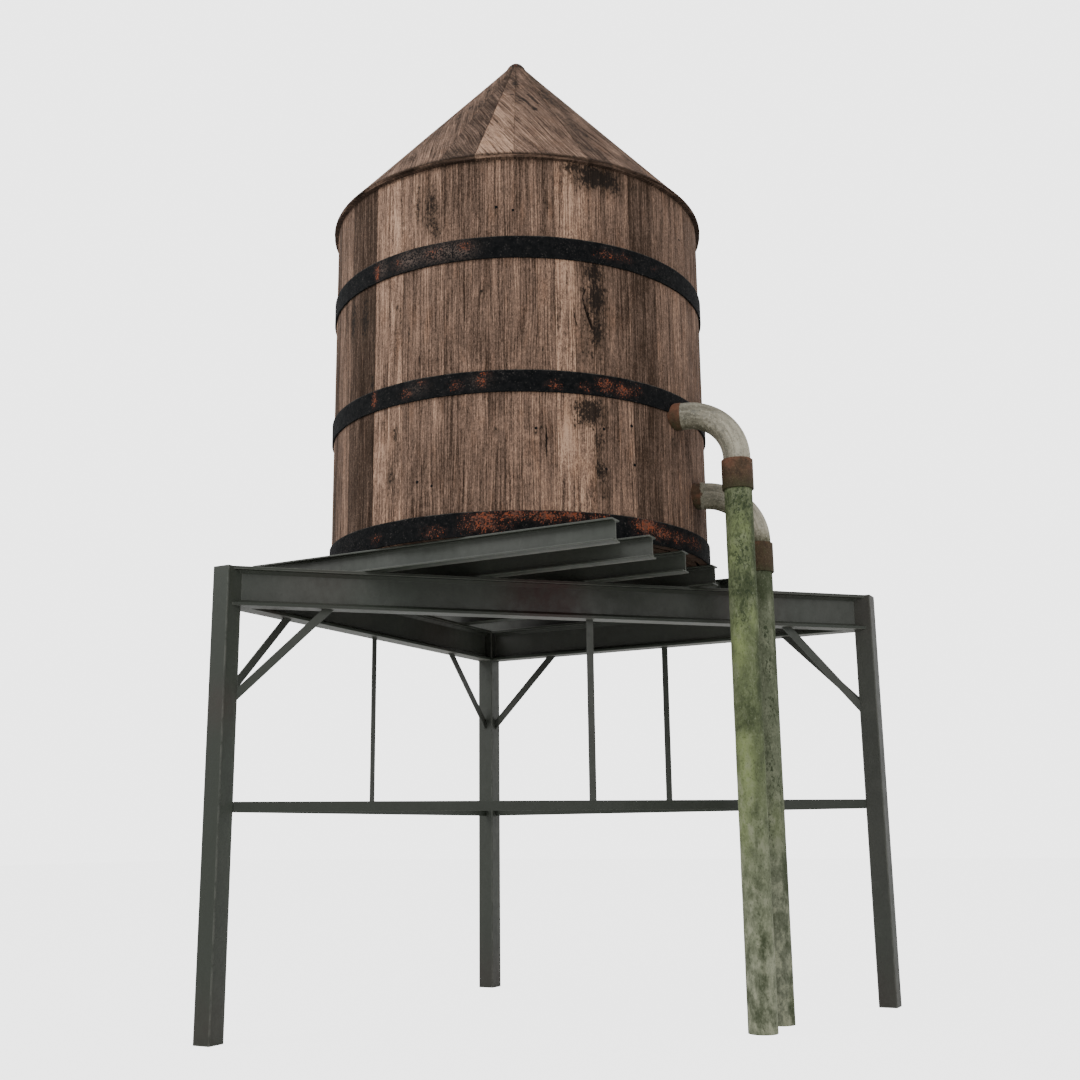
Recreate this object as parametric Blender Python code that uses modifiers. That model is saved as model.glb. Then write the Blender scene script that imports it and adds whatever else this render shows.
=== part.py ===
"""Rooftop water tower: a wooden stave tank on a three-legged steel platform, with two riser pipes.

Metres, +Z up. The origin is on the ground, below the middle of the whole tower.
"""
import math

import bmesh
import bpy
from mathutils import Matrix, Vector

# Clearance between pieces that touch
GAP = 0.0003

# Legs: square box columns at three corners of a square
HALF_X = 1.875
HALF_Y = 1.905
LEG = 0.150
LEG_HEIGHT = 3.360

# Main beams: rolled sections whose tops are level with the legs
BEAM_DEPTH = 0.295
BEAM_WIDTH = 0.145
BEAM_WEB = 0.014
BEAM_FLANGE = 0.024
BEAM_ROOT = 0.026

# Joists that lie on the beams and carry the tank
JOIST_COUNT = 6
JOIST_FIRST_Y = -1.177
JOIST_PITCH = 0.634
JOIST_LEFT = -2.221
JOIST_RIGHT = 0.977
JOIST_DEPTH = 0.163
JOIST_WIDTH = 0.120
JOIST_WEB = 0.010
JOIST_FLANGE = 0.013
JOIST_ROOT = 0.012
BLOCKING_X = 0.780
BLOCKING_DEPTH = 0.100
BLOCKING_THICK = 0.012

# Flat bars: ties between the legs, hangers and knee braces
TIE_TOP = 1.644
TIE_HEIGHT = 0.074
BAR_THICK = 0.014
HANGER_WIDTH = 0.056
HANGER_THICK = 0.012
BRACE_WIDTH = 0.064
BRACE_REACH = 0.700
BRACE_REACH_DIAGONAL = 0.749

# Tank: stave wall, floor, hoops and a conical roof
TANK_X = -0.6195
TANK_Y = 0.312
WALL_RADIUS = 1.591
WALL_THICK = 0.060
WALL_PARTS = 6
FACETS = 72
FLOOR_THICK = 0.060
EAVE_TOP = 6.574
EAVE_DROP = 0.035
EAVE_RADIUS = 1.627
ROOF_APEX = 8.405
ROOF_THICK = 0.045
ROOF_HOLE = 0.050
CAP_RADIUS = 0.085
HOOP_THICK = 0.0155
HOOPS = {
    "hoop_base": (3.5245, 3.711),
    "hoop_middle": (4.624, 4.800),
    "hoop_upper": (5.705, 5.887),
}

# Riser pipes: each stands on the ground and turns into the tank wall
PIPE_RADIUS = 0.108
COUPLING_RADIUS = 0.123
COUPLING_LENGTH = 0.236
COLLAR_RADIUS = 0.1105
COLLAR_LENGTH = 0.058
BEND_RADIUS = 0.385
PIPES = {
    "upper": {"riser": (1.417, 0.130), "inlet": (0.946, 0.050), "height": 4.610, "coupling_top": 4.204},
    "lower": {"riser": (1.390, 0.600), "inlet": (0.966, 0.392), "height": 4.036, "coupling_top": 3.632},
}

# Ground point below the middle of the tower's box
CENTRE_X = (TANK_X - EAVE_RADIUS + HALF_X + LEG / 2) / 2
CENTRE_Y = (-HALF_Y - LEG / 2 + JOIST_FIRST_Y + (JOIST_COUNT - 1) * JOIST_PITCH + JOIST_WIDTH / 2) / 2

BEAM_BOTTOM = LEG_HEIGHT - BEAM_DEPTH
JOIST_BOTTOM = LEG_HEIGHT + GAP
JOIST_TOP = JOIST_BOTTOM + JOIST_DEPTH
TANK_BOTTOM = JOIST_TOP + GAP
WALL_TOP = EAVE_TOP - EAVE_DROP - GAP

LEFT = Vector((-HALF_X - CENTRE_X, -HALF_Y - CENTRE_Y, 0))
BACK = Vector((-HALF_X - CENTRE_X, HALF_Y - CENTRE_Y, 0))
RIGHT = Vector((HALF_X - CENTRE_X, HALF_Y - CENTRE_Y, 0))
TANK = Vector((TANK_X - CENTRE_X, TANK_Y - CENTRE_Y, 0))


def clear_scene():
    for old in list(bpy.data.objects):
        bpy.data.objects.remove(old, do_unlink=True)
    for old in list(bpy.data.collections):
        bpy.data.collections.remove(old)


clear_scene()
tower = bpy.data.collections.new("water_tower")
bpy.context.scene.collection.children.link(tower)
cutters = bpy.data.collections.new("cutters")
bpy.context.scene.collection.children.link(cutters)


def material(name, colour, roughness, metallic):
    found = bpy.data.materials.get(name)
    if found:
        return found
    made = bpy.data.materials.new(name)
    made.use_nodes = True
    shader = made.node_tree.nodes["Principled BSDF"]
    shader.inputs["Base Color"].default_value = (*colour, 1.0)
    shader.inputs["Roughness"].default_value = roughness
    shader.inputs["Metallic"].default_value = metallic
    return made


STEEL = ((0.055, 0.060, 0.052), 0.60, 0.20)
TIMBER = ((0.190, 0.135, 0.105), 0.85, 0.0)
ROOFING = ((0.215, 0.150, 0.120), 0.85, 0.0)
IRON = ((0.016, 0.015, 0.014), 0.70, 0.40)
MOSSY = ((0.170, 0.220, 0.110), 0.85, 0.0)
LICHEN = ((0.300, 0.290, 0.230), 0.85, 0.0)
RUSTY = ((0.140, 0.075, 0.045), 0.85, 0.10)


def finish(item, look):
    item.data.materials.clear()
    item.data.materials.append(material(item.name + "_paint", *look))
    tower.objects.link(item)
    return item


def mesh_of(curve_object, name):
    """A curve object's evaluated mesh, welded, as a new object in its place."""
    depsgraph = bpy.context.evaluated_depsgraph_get()
    data = bpy.data.meshes.new_from_object(curve_object.evaluated_get(depsgraph))
    data.name = name
    made = bpy.data.objects.new(name, data)
    made.matrix_world = curve_object.matrix_world.copy()
    shell = bmesh.new()
    shell.from_mesh(data)
    bmesh.ops.remove_doubles(shell, verts=shell.verts, dist=0.00005)
    bmesh.ops.recalc_face_normals(shell, faces=shell.faces)
    shell.to_mesh(data)
    shell.free()
    bpy.data.objects.remove(curve_object, do_unlink=True)
    return made


def prism(name, loops, height, place):
    """A flat outline, with holes where it has more loops, extruded along its own Z."""
    curve = bpy.data.curves.new(name + "_outline", "CURVE")
    curve.dimensions = "2D"
    curve.fill_mode = "BOTH"
    curve.extrude = height / 2
    for loop in loops:
        spline = curve.splines.new("POLY")
        spline.points.add(len(loop) - 1)
        for point, (x, y) in zip(spline.points, loop):
            point.co = (x, y, 0, 1)
        spline.use_cyclic_u = True
    holder = bpy.data.objects.new(name + "_outline", curve)
    bpy.context.scene.collection.objects.link(holder)
    holder.matrix_world = place
    bpy.context.view_layer.update()
    return mesh_of(holder, name)


def box(name, size, centre, turn=0.0):
    data = bpy.data.meshes.new(name)
    shape = bmesh.new()
    bmesh.ops.create_cube(shape, size=1.0)
    bmesh.ops.scale(shape, vec=size, verts=shape.verts)
    shape.to_mesh(data)
    shape.free()
    made = bpy.data.objects.new(name, data)
    made.matrix_world = Matrix.Translation(centre) @ Matrix.Rotation(turn, 4, "Z")
    return made


def cylinder(name, radius, bottom, top, centre, sides=24):
    data = bpy.data.meshes.new(name)
    shape = bmesh.new()
    bmesh.ops.create_cone(shape, cap_ends=True, segments=sides, radius1=radius, radius2=radius, depth=top - bottom)
    shape.to_mesh(data)
    shape.free()
    made = bpy.data.objects.new(name, data)
    made.location = (centre.x, centre.y, (bottom + top) / 2)
    return made


def cut(item, *tools):
    for tool in tools:
        tool.hide_render = True
        tool.display_type = "WIRE"
        if tool.name not in cutters.objects:
            cutters.objects.link(tool)
        change = item.modifiers.new("cut_" + tool.name, "BOOLEAN")
        change.operation = "DIFFERENCE"
        change.solver = "EXACT"
        change.object = tool


def section(depth, width, web, flange, root):
    """The outline of a rolled I-section, with a sloping root between web and flanges."""
    quarter = [
        (width / 2, depth / 2),
        (width / 2, depth / 2 - flange),
        (web / 2 + root, depth / 2 - flange),
        (web / 2, depth / 2 - flange - root),
    ]
    right = quarter + [(x, -y) for x, y in reversed(quarter)]
    return right + [(-x, y) for x, y in reversed(right)]


def along(start, end, z):
    """The frame of a bar from start to end: its Z runs along it and its Y is up."""
    run = (end - start).normalized()
    side = Vector((0, 0, 1)).cross(run) * -1.0
    turn = Matrix((side, Vector((0, 0, 1)), run)).transposed().to_4x4()
    if turn.determinant() < 0:
        side = side * -1.0
        turn = Matrix((side, Vector((0, 0, 1)), run)).transposed().to_4x4()
    middle = (start + end) / 2
    return Matrix.Translation((middle.x, middle.y, z)) @ turn


def upright_plane(start, end):
    """A frame whose X runs from start to end, whose Y is up and whose Z is the bar's thickness."""
    run = (end - start).normalized()
    normal = run.cross(Vector((0, 0, 1)))
    turn = Matrix((run, Vector((0, 0, 1)), normal)).transposed().to_4x4()
    return Matrix.Translation(start) @ turn


def leg(name, corner):
    finish(box(name, (LEG, LEG, LEG_HEIGHT), corner + Vector((0, 0, LEG_HEIGHT / 2))), STEEL)


def leg_cutter(name, corner):
    size = LEG + 2 * GAP
    return box(name, (size, size, LEG_HEIGHT + 0.2), corner + Vector((0, 0, LEG_HEIGHT / 2)))


def beam(name, start, end):
    outline = section(BEAM_DEPTH, BEAM_WIDTH, BEAM_WEB, BEAM_FLANGE, BEAM_ROOT)
    length = (end - start).length
    made = prism(name, [outline], length, along(start, end, LEG_HEIGHT - BEAM_DEPTH / 2))
    return finish(made, STEEL)


def joist(number):
    y = JOIST_FIRST_Y + (number - 1) * JOIST_PITCH - CENTRE_Y
    start = Vector((JOIST_LEFT - CENTRE_X, y, 0))
    end = Vector((JOIST_RIGHT - CENTRE_X, y, 0))
    outline = section(JOIST_DEPTH, JOIST_WIDTH, JOIST_WEB, JOIST_FLANGE, JOIST_ROOT)
    made = prism(f"joist_{number}", [outline], (end - start).length, along(start, end, JOIST_BOTTOM + JOIST_DEPTH / 2))
    finish(made, STEEL)


def blocking(name, number):
    """A plate between the webs of two neighbouring joists, near their free ends."""
    low = JOIST_FIRST_Y + (number - 1) * JOIST_PITCH + JOIST_WEB / 2 + GAP - CENTRE_Y
    high = JOIST_FIRST_Y + number * JOIST_PITCH - JOIST_WEB / 2 - GAP - CENTRE_Y
    centre = Vector((BLOCKING_X - CENTRE_X, (low + high) / 2, JOIST_BOTTOM + JOIST_DEPTH / 2))
    finish(box(name, (BLOCKING_THICK, high - low, BLOCKING_DEPTH), centre), STEEL)


def tie(name, start, end):
    middle = (start + end) / 2 + Vector((0, 0, TIE_TOP - TIE_HEIGHT / 2))
    run = end - start
    made = box(name, (run.length, BAR_THICK, TIE_HEIGHT), middle, math.atan2(run.y, run.x))
    return finish(made, STEEL)


def hanger(name, start, end, shift):
    """A flat bar from the middle of a beam's underside down to the tie below it."""
    run = (end - start).normalized()
    top = BEAM_BOTTOM - GAP
    bottom = TIE_TOP + GAP
    middle = (start + end) / 2 + run * shift + Vector((0, 0, (top + bottom) / 2))
    made = box(name, (HANGER_WIDTH, HANGER_THICK, top - bottom), middle, math.atan2(run.y, run.x))
    finish(made, STEEL)


def brace(name, corner, toward, foot, reach):
    """A flat bar at 45 degrees from a leg up to the underside of a beam."""
    top = BEAM_BOTTOM - GAP
    low = top - (reach - foot)
    half = BRACE_WIDTH / 2 * math.sqrt(2)
    outline = [
        (foot, low - half),
        (reach + half, top),
        (reach - half, top),
        (foot, low + half),
    ]
    made = prism(name, [outline], BAR_THICK, upright_plane(corner, toward))
    return finish(made, STEEL)


def arc(radius, start, end, steps):
    points = []
    for step in range(steps + 1):
        angle = start + (end - start) * step / steps
        points.append((radius * math.cos(angle), radius * math.sin(angle)))
    return points


def wall(number):
    """One sixth of the stave wall, cut along the joints between two staves."""
    share = 2 * math.pi / WALL_PARTS
    slack = GAP / 2 / WALL_RADIUS
    start = share * (number - 1) + slack
    end = share * number - slack
    steps = FACETS // WALL_PARTS
    outer = arc(WALL_RADIUS, start, end, steps)
    inner = arc(WALL_RADIUS - WALL_THICK, start, end, steps)
    place = Matrix.Translation(TANK + Vector((0, 0, (TANK_BOTTOM + WALL_TOP) / 2)))
    made = prism(f"wall_{number}", [outer + inner[::-1]], WALL_TOP - TANK_BOTTOM, place)
    finish(made, TIMBER)


def ring(name, inner, outer, bottom, top, look):
    loops = [arc(outer, 0, 2 * math.pi, FACETS)[:-1], arc(inner, 0, 2 * math.pi, FACETS)[:-1]]
    place = Matrix.Translation(TANK + Vector((0, 0, (bottom + top) / 2)))
    finish(prism(name, loops, top - bottom, place), look)


def turned(name, profile, look):
    """A closed profile, listed down its outer side and up its inner side, turned about the tank's axis."""
    data = bpy.data.meshes.new(name)
    count = len(profile)
    edges = [(i, (i + 1) % count) for i in range(count)]
    if profile[0][0] == 0 and profile[-1][0] == 0:
        edges = edges[:-1]
    data.from_pydata([(x, 0, z) for x, z in profile], edges, [])
    made = bpy.data.objects.new(name, data)
    made.location = TANK
    screw = made.modifiers.new("turn", "SCREW")
    screw.angle = 2 * math.pi
    screw.steps = FACETS
    screw.render_steps = FACETS
    screw.use_merge_vertices = True
    screw.merge_threshold = 0.00005
    return finish(made, look)


def roof():
    """The conical roof: a shell with a flat seat on the wall and a small hole under the cap."""
    slope = math.atan2(ROOF_APEX - EAVE_TOP, EAVE_RADIUS)
    drop = ROOF_THICK / math.cos(slope)
    seat = WALL_RADIUS - WALL_THICK
    bottom = EAVE_TOP - EAVE_DROP

    def outer(radius):
        return ROOF_APEX - radius * math.tan(slope)

    inner_start = (ROOF_APEX - drop - bottom) / math.tan(slope)
    profile = [
        (ROOF_HOLE, outer(ROOF_HOLE)),
        (EAVE_RADIUS, EAVE_TOP),
        (EAVE_RADIUS, bottom),
        (min(seat, inner_start), bottom),
        (min(seat, inner_start), outer(min(seat, inner_start)) - drop),
        (ROOF_HOLE, outer(ROOF_HOLE) - drop),
    ]
    if seat >= inner_start:
        del profile[4]
    turned("roof", profile, ROOFING)


def roof_cap():
    """A rounded metal cap over the point of the roof, with a stub down through the hole."""
    slope = math.atan2(ROOF_APEX - EAVE_TOP, EAVE_RADIUS)
    rise = ROOF_APEX - 0.027
    lift = GAP / math.cos(slope)
    edge = ROOF_APEX - CAP_RADIUS * math.tan(slope)
    profile = [
        (0, rise),
        (0.030, rise - 0.0055),
        (0.055, rise - 0.022),
        (0.078, rise - 0.047),
        (CAP_RADIUS, edge + 0.011),
        (CAP_RADIUS, edge + lift),
        (ROOF_HOLE - GAP, ROOF_APEX - ROOF_HOLE * math.tan(slope) + lift),
        (ROOF_HOLE - GAP, ROOF_APEX - ROOF_HOLE * math.tan(slope) - 0.05),
        (0, ROOF_APEX - ROOF_HOLE * math.tan(slope) - 0.05),
    ]
    turned("roof_cap", profile, IRON)


def pipe(label, values):
    """A riser on the ground, a coupling, a quarter bend and a collar shaped to the wall."""
    riser = Vector((*values["riser"], 0)) - Vector((CENTRE_X, CENTRE_Y, 0))
    inlet = Vector((*values["inlet"], 0)) - Vector((CENTRE_X, CENTRE_Y, 0))
    height = values["height"]
    joint = values["coupling_top"]
    bottom = joint - COUPLING_LENGTH
    finish(cylinder(f"pipe_{label}_riser", PIPE_RADIUS, 0, bottom - GAP, riser), MOSSY)
    finish(cylinder(f"pipe_{label}_coupling", COUPLING_RADIUS, bottom, joint, riser), RUSTY)

    outward = (riser - inlet).normalized()
    run = (riser - inlet).length
    curve = bpy.data.curves.new(f"pipe_{label}_route", "CURVE")
    curve.dimensions = "3D"
    curve.bevel_depth = PIPE_RADIUS
    curve.bevel_resolution = 4
    curve.use_fill_caps = True
    points = [inlet + outward * (COLLAR_LENGTH + GAP) + Vector((0, 0, height))]
    turn = inlet + outward * (run - BEND_RADIUS) + Vector((0, 0, height - BEND_RADIUS))
    steps = 10
    for step in range(steps + 1):
        angle = math.pi / 2 * (1 - step / steps)
        points.append(turn + outward * BEND_RADIUS * math.cos(angle) + Vector((0, 0, BEND_RADIUS * math.sin(angle))))
    points.append(riser + Vector((0, 0, joint + GAP)))
    spline = curve.splines.new("POLY")
    spline.points.add(len(points) - 1)
    for point, where in zip(spline.points, points):
        point.co = (*where, 1)
    holder = bpy.data.objects.new(f"pipe_{label}_route", curve)
    bpy.context.scene.collection.objects.link(holder)
    bpy.context.view_layer.update()
    finish(mesh_of(holder, f"pipe_{label}_bend"), LICHEN)

    collar = cylinder(f"pipe_{label}_collar", COLLAR_RADIUS, 0, COLLAR_LENGTH + 0.12, Vector((0, 0, 0)))
    middle = inlet + outward * (COLLAR_LENGTH - 0.12) / 2 + Vector((0, 0, height))
    turn = Vector((0, 0, 1)).rotation_difference(outward).to_matrix().to_4x4()
    collar.matrix_world = Matrix.Translation(middle) @ turn
    finish(collar, RUSTY)
    cut(collar, wall_cutter(f"wall_space_{label}"), hoop_cutter(f"hoop_space_{label}"))


def wall_cutter(name):
    return cylinder(name, WALL_RADIUS + GAP, TANK_BOTTOM, WALL_TOP, TANK, FACETS)


def hoop_cutter(name):
    """The space of the middle hoop, which passes behind the upper collar."""
    bottom, top = HOOPS["hoop_middle"]
    return cylinder(name, WALL_RADIUS + HOOP_THICK + 2 * GAP, bottom - GAP, top + GAP, TANK, FACETS)


def build():
    leg("leg_left", LEFT)
    leg("leg_back", BACK)
    leg("leg_right", RIGHT)

    step_y = Vector((0, LEG / 2 + GAP, 0))
    step_x = Vector((LEG / 2 + GAP, 0, 0))
    beam("beam_left", LEFT + step_y, BACK - step_y)
    beam("beam_back", BACK + step_x, RIGHT - step_x)

    diagonal = (RIGHT - LEFT).normalized()
    inset = diagonal * 0.03
    front = beam("beam_front", LEFT + inset, RIGHT - inset)
    left_cutter = leg_cutter("leg_left_space", LEFT)
    right_cutter = leg_cutter("leg_right_space", RIGHT)
    envelope = BEAM_WIDTH + 2 * GAP
    length_y = 2 * HALF_Y
    length_x = 2 * HALF_X
    middle = LEG_HEIGHT - BEAM_DEPTH / 2
    left_space = box("beam_left_space", (envelope, length_y, BEAM_DEPTH + 0.02), (LEFT + BACK) / 2 + Vector((0, 0, middle)))
    back_space = box("beam_back_space", (length_x, envelope, BEAM_DEPTH + 0.02), (BACK + RIGHT) / 2 + Vector((0, 0, middle)))
    cut(front, left_cutter, right_cutter, left_space, back_space)

    for number in range(1, JOIST_COUNT + 1):
        joist(number)
    blocking("blocking_inner", 4)
    blocking("blocking_outer", 5)

    tie("tie_left", LEFT + step_y, BACK - step_y)
    tie("tie_back", BACK + step_x, RIGHT - step_x)
    front_tie = tie("tie_front", LEFT + diagonal * 0.08, RIGHT - diagonal * 0.08)
    cut(front_tie, left_cutter, right_cutter)

    hanger("hanger_left", LEFT, BACK, -0.030)
    hanger("hanger_back", BACK, RIGHT, 0.008)
    hanger("hanger_front", LEFT, RIGHT, 0.170)

    face = LEG / 2 + GAP
    brace("brace_left_side", LEFT, BACK, face, BRACE_REACH)
    brace("brace_back_side", BACK, LEFT, face, BRACE_REACH)
    brace("brace_back_rear", BACK, RIGHT, face, BRACE_REACH)
    brace("brace_right_rear", RIGHT, BACK, face, BRACE_REACH)
    left_front = brace("brace_left_front", LEFT, RIGHT, 0.09, BRACE_REACH_DIAGONAL)
    right_front = brace("brace_right_front", RIGHT, LEFT, 0.09, BRACE_REACH_DIAGONAL)
    cut(left_front, left_cutter)
    cut(right_front, right_cutter)

    for number in range(1, WALL_PARTS + 1):
        wall(number)
    ring_inner = WALL_RADIUS + GAP
    for name, (bottom, top) in HOOPS.items():
        ring(name, ring_inner, ring_inner + HOOP_THICK, bottom, top, IRON)
    floor_radius = WALL_RADIUS - WALL_THICK - GAP
    finish(cylinder("tank_floor", floor_radius, TANK_BOTTOM, TANK_BOTTOM + FLOOR_THICK, TANK, FACETS), TIMBER)
    roof()
    roof_cap()
    for label, values in PIPES.items():
        pipe(label, values)


build()
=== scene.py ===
"""Looks of the rooftop water tower: a stave tank on a three-legged steel platform, with two riser pipes."""

import math

import bpy
import numpy as np
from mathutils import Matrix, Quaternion, Vector


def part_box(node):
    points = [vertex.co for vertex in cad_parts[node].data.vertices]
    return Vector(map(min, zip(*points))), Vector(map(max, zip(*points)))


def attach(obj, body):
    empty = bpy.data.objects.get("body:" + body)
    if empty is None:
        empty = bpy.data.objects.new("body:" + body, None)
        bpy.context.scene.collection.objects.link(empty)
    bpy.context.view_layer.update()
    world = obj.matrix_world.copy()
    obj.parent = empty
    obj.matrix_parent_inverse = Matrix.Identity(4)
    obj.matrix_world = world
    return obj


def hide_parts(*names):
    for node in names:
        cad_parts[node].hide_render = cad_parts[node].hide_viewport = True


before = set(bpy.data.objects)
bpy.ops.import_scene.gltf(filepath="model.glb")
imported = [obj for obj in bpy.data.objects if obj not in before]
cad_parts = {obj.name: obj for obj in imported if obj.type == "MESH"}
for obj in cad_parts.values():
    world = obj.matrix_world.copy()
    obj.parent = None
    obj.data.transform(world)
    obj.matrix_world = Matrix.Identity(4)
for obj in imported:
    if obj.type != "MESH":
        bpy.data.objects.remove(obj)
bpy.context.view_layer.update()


# Camera
# It stands on the ground off the open corner of the platform, a little below eye level, and looks up at
# the tank with less than one degree of roll.

CAMERA_PLACE = (4.8569, -9.2465, 1.3863)
CAMERA_YAW = math.radians(-28.335)
CAMERA_PITCH = math.radians(12.694)
CAMERA_ROLL = math.radians(0.678)
CAMERA_LENS = 43.624
SENSOR_WIDTH = 36.0


def put(name, data):
    """An object that holds a camera, lamp or mesh, linked into the scene."""
    made = bpy.data.objects.new(name, data)
    bpy.context.scene.collection.objects.link(made)
    return made


def stand(name, data, where, turn):
    made = put(name, data)
    made.location = where
    made.rotation_mode = "QUATERNION"
    made.rotation_quaternion = turn
    return made


def place_camera():
    data = bpy.data.cameras.new("camera")
    data.lens = CAMERA_LENS
    data.sensor_width = SENSOR_WIDTH
    level = math.cos(CAMERA_PITCH)
    ahead = Vector((math.sin(CAMERA_YAW) * level, math.cos(CAMERA_YAW) * level, math.sin(CAMERA_PITCH)))
    turn = Quaternion(ahead, CAMERA_ROLL) @ ahead.to_track_quat("-Z", "Y")
    bpy.context.scene.camera = stand("camera", data, CAMERA_PLACE, turn)


place_camera()


# Room
# A pale floor and a white surround, with one broad soft lamp high on the left and a weaker one on the
# right. The floor and surround are seen brighter than the light that they give back.

FLOOR_REACH = 60.0
FLOOR_COLOURS = (0.80, 0.80, 0.79), (0.816, 0.816, 0.8058)
FLOOR_SEEN = 4.2
FLOOR_SEEN_SHARE = 0.75
SURROUND_GIVEN = 1.0
SURROUND_SEEN = 3.5
WHITE = (1.0, 1.0, 1.0, 1.0)
LAMP_AIM = Vector((0, 0, 4.5))
# Each lamp: name, place, width and power
LAMPS = ("lamp_left", (-7.0, -9.0, 11.0), 7.0, 900.0), ("lamp_right", (10.0, -4.0, 8.0), 6.0, 250.0)


def place(tree, kind, inputs=(), **settings):
    """Adds a shader node. An input given a socket is linked to it, and any other is set to the value."""
    made = tree.nodes.new("ShaderNode" + kind)
    for key, value in settings.items():
        setattr(made, key, value)
    for key, value in dict(inputs).items():
        if isinstance(value, bpy.types.NodeSocket):
            tree.links.new(value, made.inputs[key])
        else:
            made.inputs[key].default_value = value
    return made


def cloud(where, cells, detail=4.0, rough=0.55, warp=0.0):
    """Noise of about 0.5 on average, with so many cells to the metre, the same or its own for each axis."""
    cells = (cells,) * 3 if isinstance(cells, float) else (*cells, 0.0)[:3]
    scaled = place(where.id_data, "VectorMath", {0: where, 1: cells}, operation="MULTIPLY").outputs[0]
    inputs = {"Vector": scaled, "Scale": 1.0, "Detail": detail, "Roughness": rough, "Distortion": warp}
    return place(where.id_data, "TexNoise", inputs).outputs[0]


def between(value, low, high, to_low=0.0, to_high=1.0):
    """The value rescaled so that low to high becomes to_low to to_high, and held inside them."""
    inputs = dict(enumerate((value, low, high, to_low, to_high)))
    return place(value.id_data, "MapRange", inputs).outputs[0]


def tint(share, first, second, way="MIX"):
    """A colour between the first, at share 0, and the second, at share 1."""
    inputs = {0: share}
    for slot, colour in ((6, first), (7, second)):
        inputs[slot] = colour if isinstance(colour, bpy.types.NodeSocket) else (*colour, 1.0)
    return place(share.id_data, "Mix", inputs, data_type="RGBA", blend_type=way).outputs[2]


def new_material(name, coordinates="Object"):
    """An empty material, its node tree and the coordinates that its patterns follow."""
    made = bpy.data.materials.new(name)
    made.use_nodes = True
    made.node_tree.nodes.clear()
    return made, made.node_tree, place(made.node_tree, "TexCoord").outputs[coordinates]


def seen_or_given(tree, share, given, seen):
    """Mixes what a surface gives back as light with what the camera sees of it."""
    return place(tree, "MixShader", {0: share, 1: given.outputs[0], 2: seen.outputs[0]}).outputs[0]


def light_room():
    world = bpy.data.worlds.new("surround")
    world.use_nodes = True
    tree = world.node_tree
    tree.nodes.clear()
    given = place(tree, "Background", {"Color": WHITE, "Strength": SURROUND_GIVEN})
    seen = place(tree, "Background", {"Color": WHITE, "Strength": SURROUND_SEEN})
    by_camera = place(tree, "LightPath").outputs["Is Camera Ray"]
    place(tree, "OutputWorld", {"Surface": seen_or_given(tree, by_camera, given, seen)})
    bpy.context.scene.world = world
    for name, where, size, power in LAMPS:
        data = bpy.data.lights.new(name, "AREA")
        data.shape = "DISK"
        data.size = size
        data.energy = power
        stand(name, data, where, (LAMP_AIM - Vector(where)).to_track_quat("-Z", "Y"))


def lay_floor():
    """A level sheet whose tone wavers a little."""
    far = FLOOR_REACH
    mesh = bpy.data.meshes.new("floor")
    mesh.from_pydata([(-far, -far, 0), (far, -far, 0), (far, far, 0), (-far, far, 0)], [], [(0, 1, 2, 3)])
    put("floor", mesh)
    paint, tree, spot = new_material("pale_floor")
    colour = tint(between(cloud(spot, 0.3), 0.3, 0.7), *FLOOR_COLOURS)
    given = place(tree, "BsdfDiffuse", {"Color": colour})
    seen = place(tree, "Emission", {"Color": WHITE, "Strength": FLOOR_SEEN})
    by_camera = place(tree, "LightPath").outputs["Is Camera Ray"]
    share = between(by_camera, 0.0, 1.0, 0.0, FLOOR_SEEN_SHARE)
    place(tree, "OutputMaterial", {"Surface": seen_or_given(tree, share, given, seen)})
    mesh.materials.append(paint)


light_room()
lay_floor()


# Legs
# Square steel box columns with rounded corners, closed at the top, under dull green-grey paint.
# The paint is rubbed pale along the corners and stained by rust low down, and painted shade darkens
# the outer face of the left and back legs.

LEG_CORNER = 0.007
LEG_CORNER_FADE = 0.006
LEG_END = 0.003
LEG_END_FADE = 0.010
LEG_STEP = 0.04
SHARP_FROM = math.radians(30)
# Each rust spot: its middle, radius and strength
LEG_RUST = {
    "leg_left": [((-1.70, -2.02, 2.33), 0.16, 0.5), ((-1.75, -2.0, 0.1), 0.25, 0.3)],
    "leg_back": [((-1.70, 1.80, 0.10), 0.25, 0.3)],
    "leg_right": [((2.05, 1.80, 3.20), 0.20, 0.3), ((2.0, 1.8, 0.1), 0.25, 0.3)],
}
# How much painted shade darkens the outer edge of each leg
LEG_PAINTED_SHADE = {"leg_left": 1.15, "leg_back": 0.65, "leg_right": 0.0}


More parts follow.
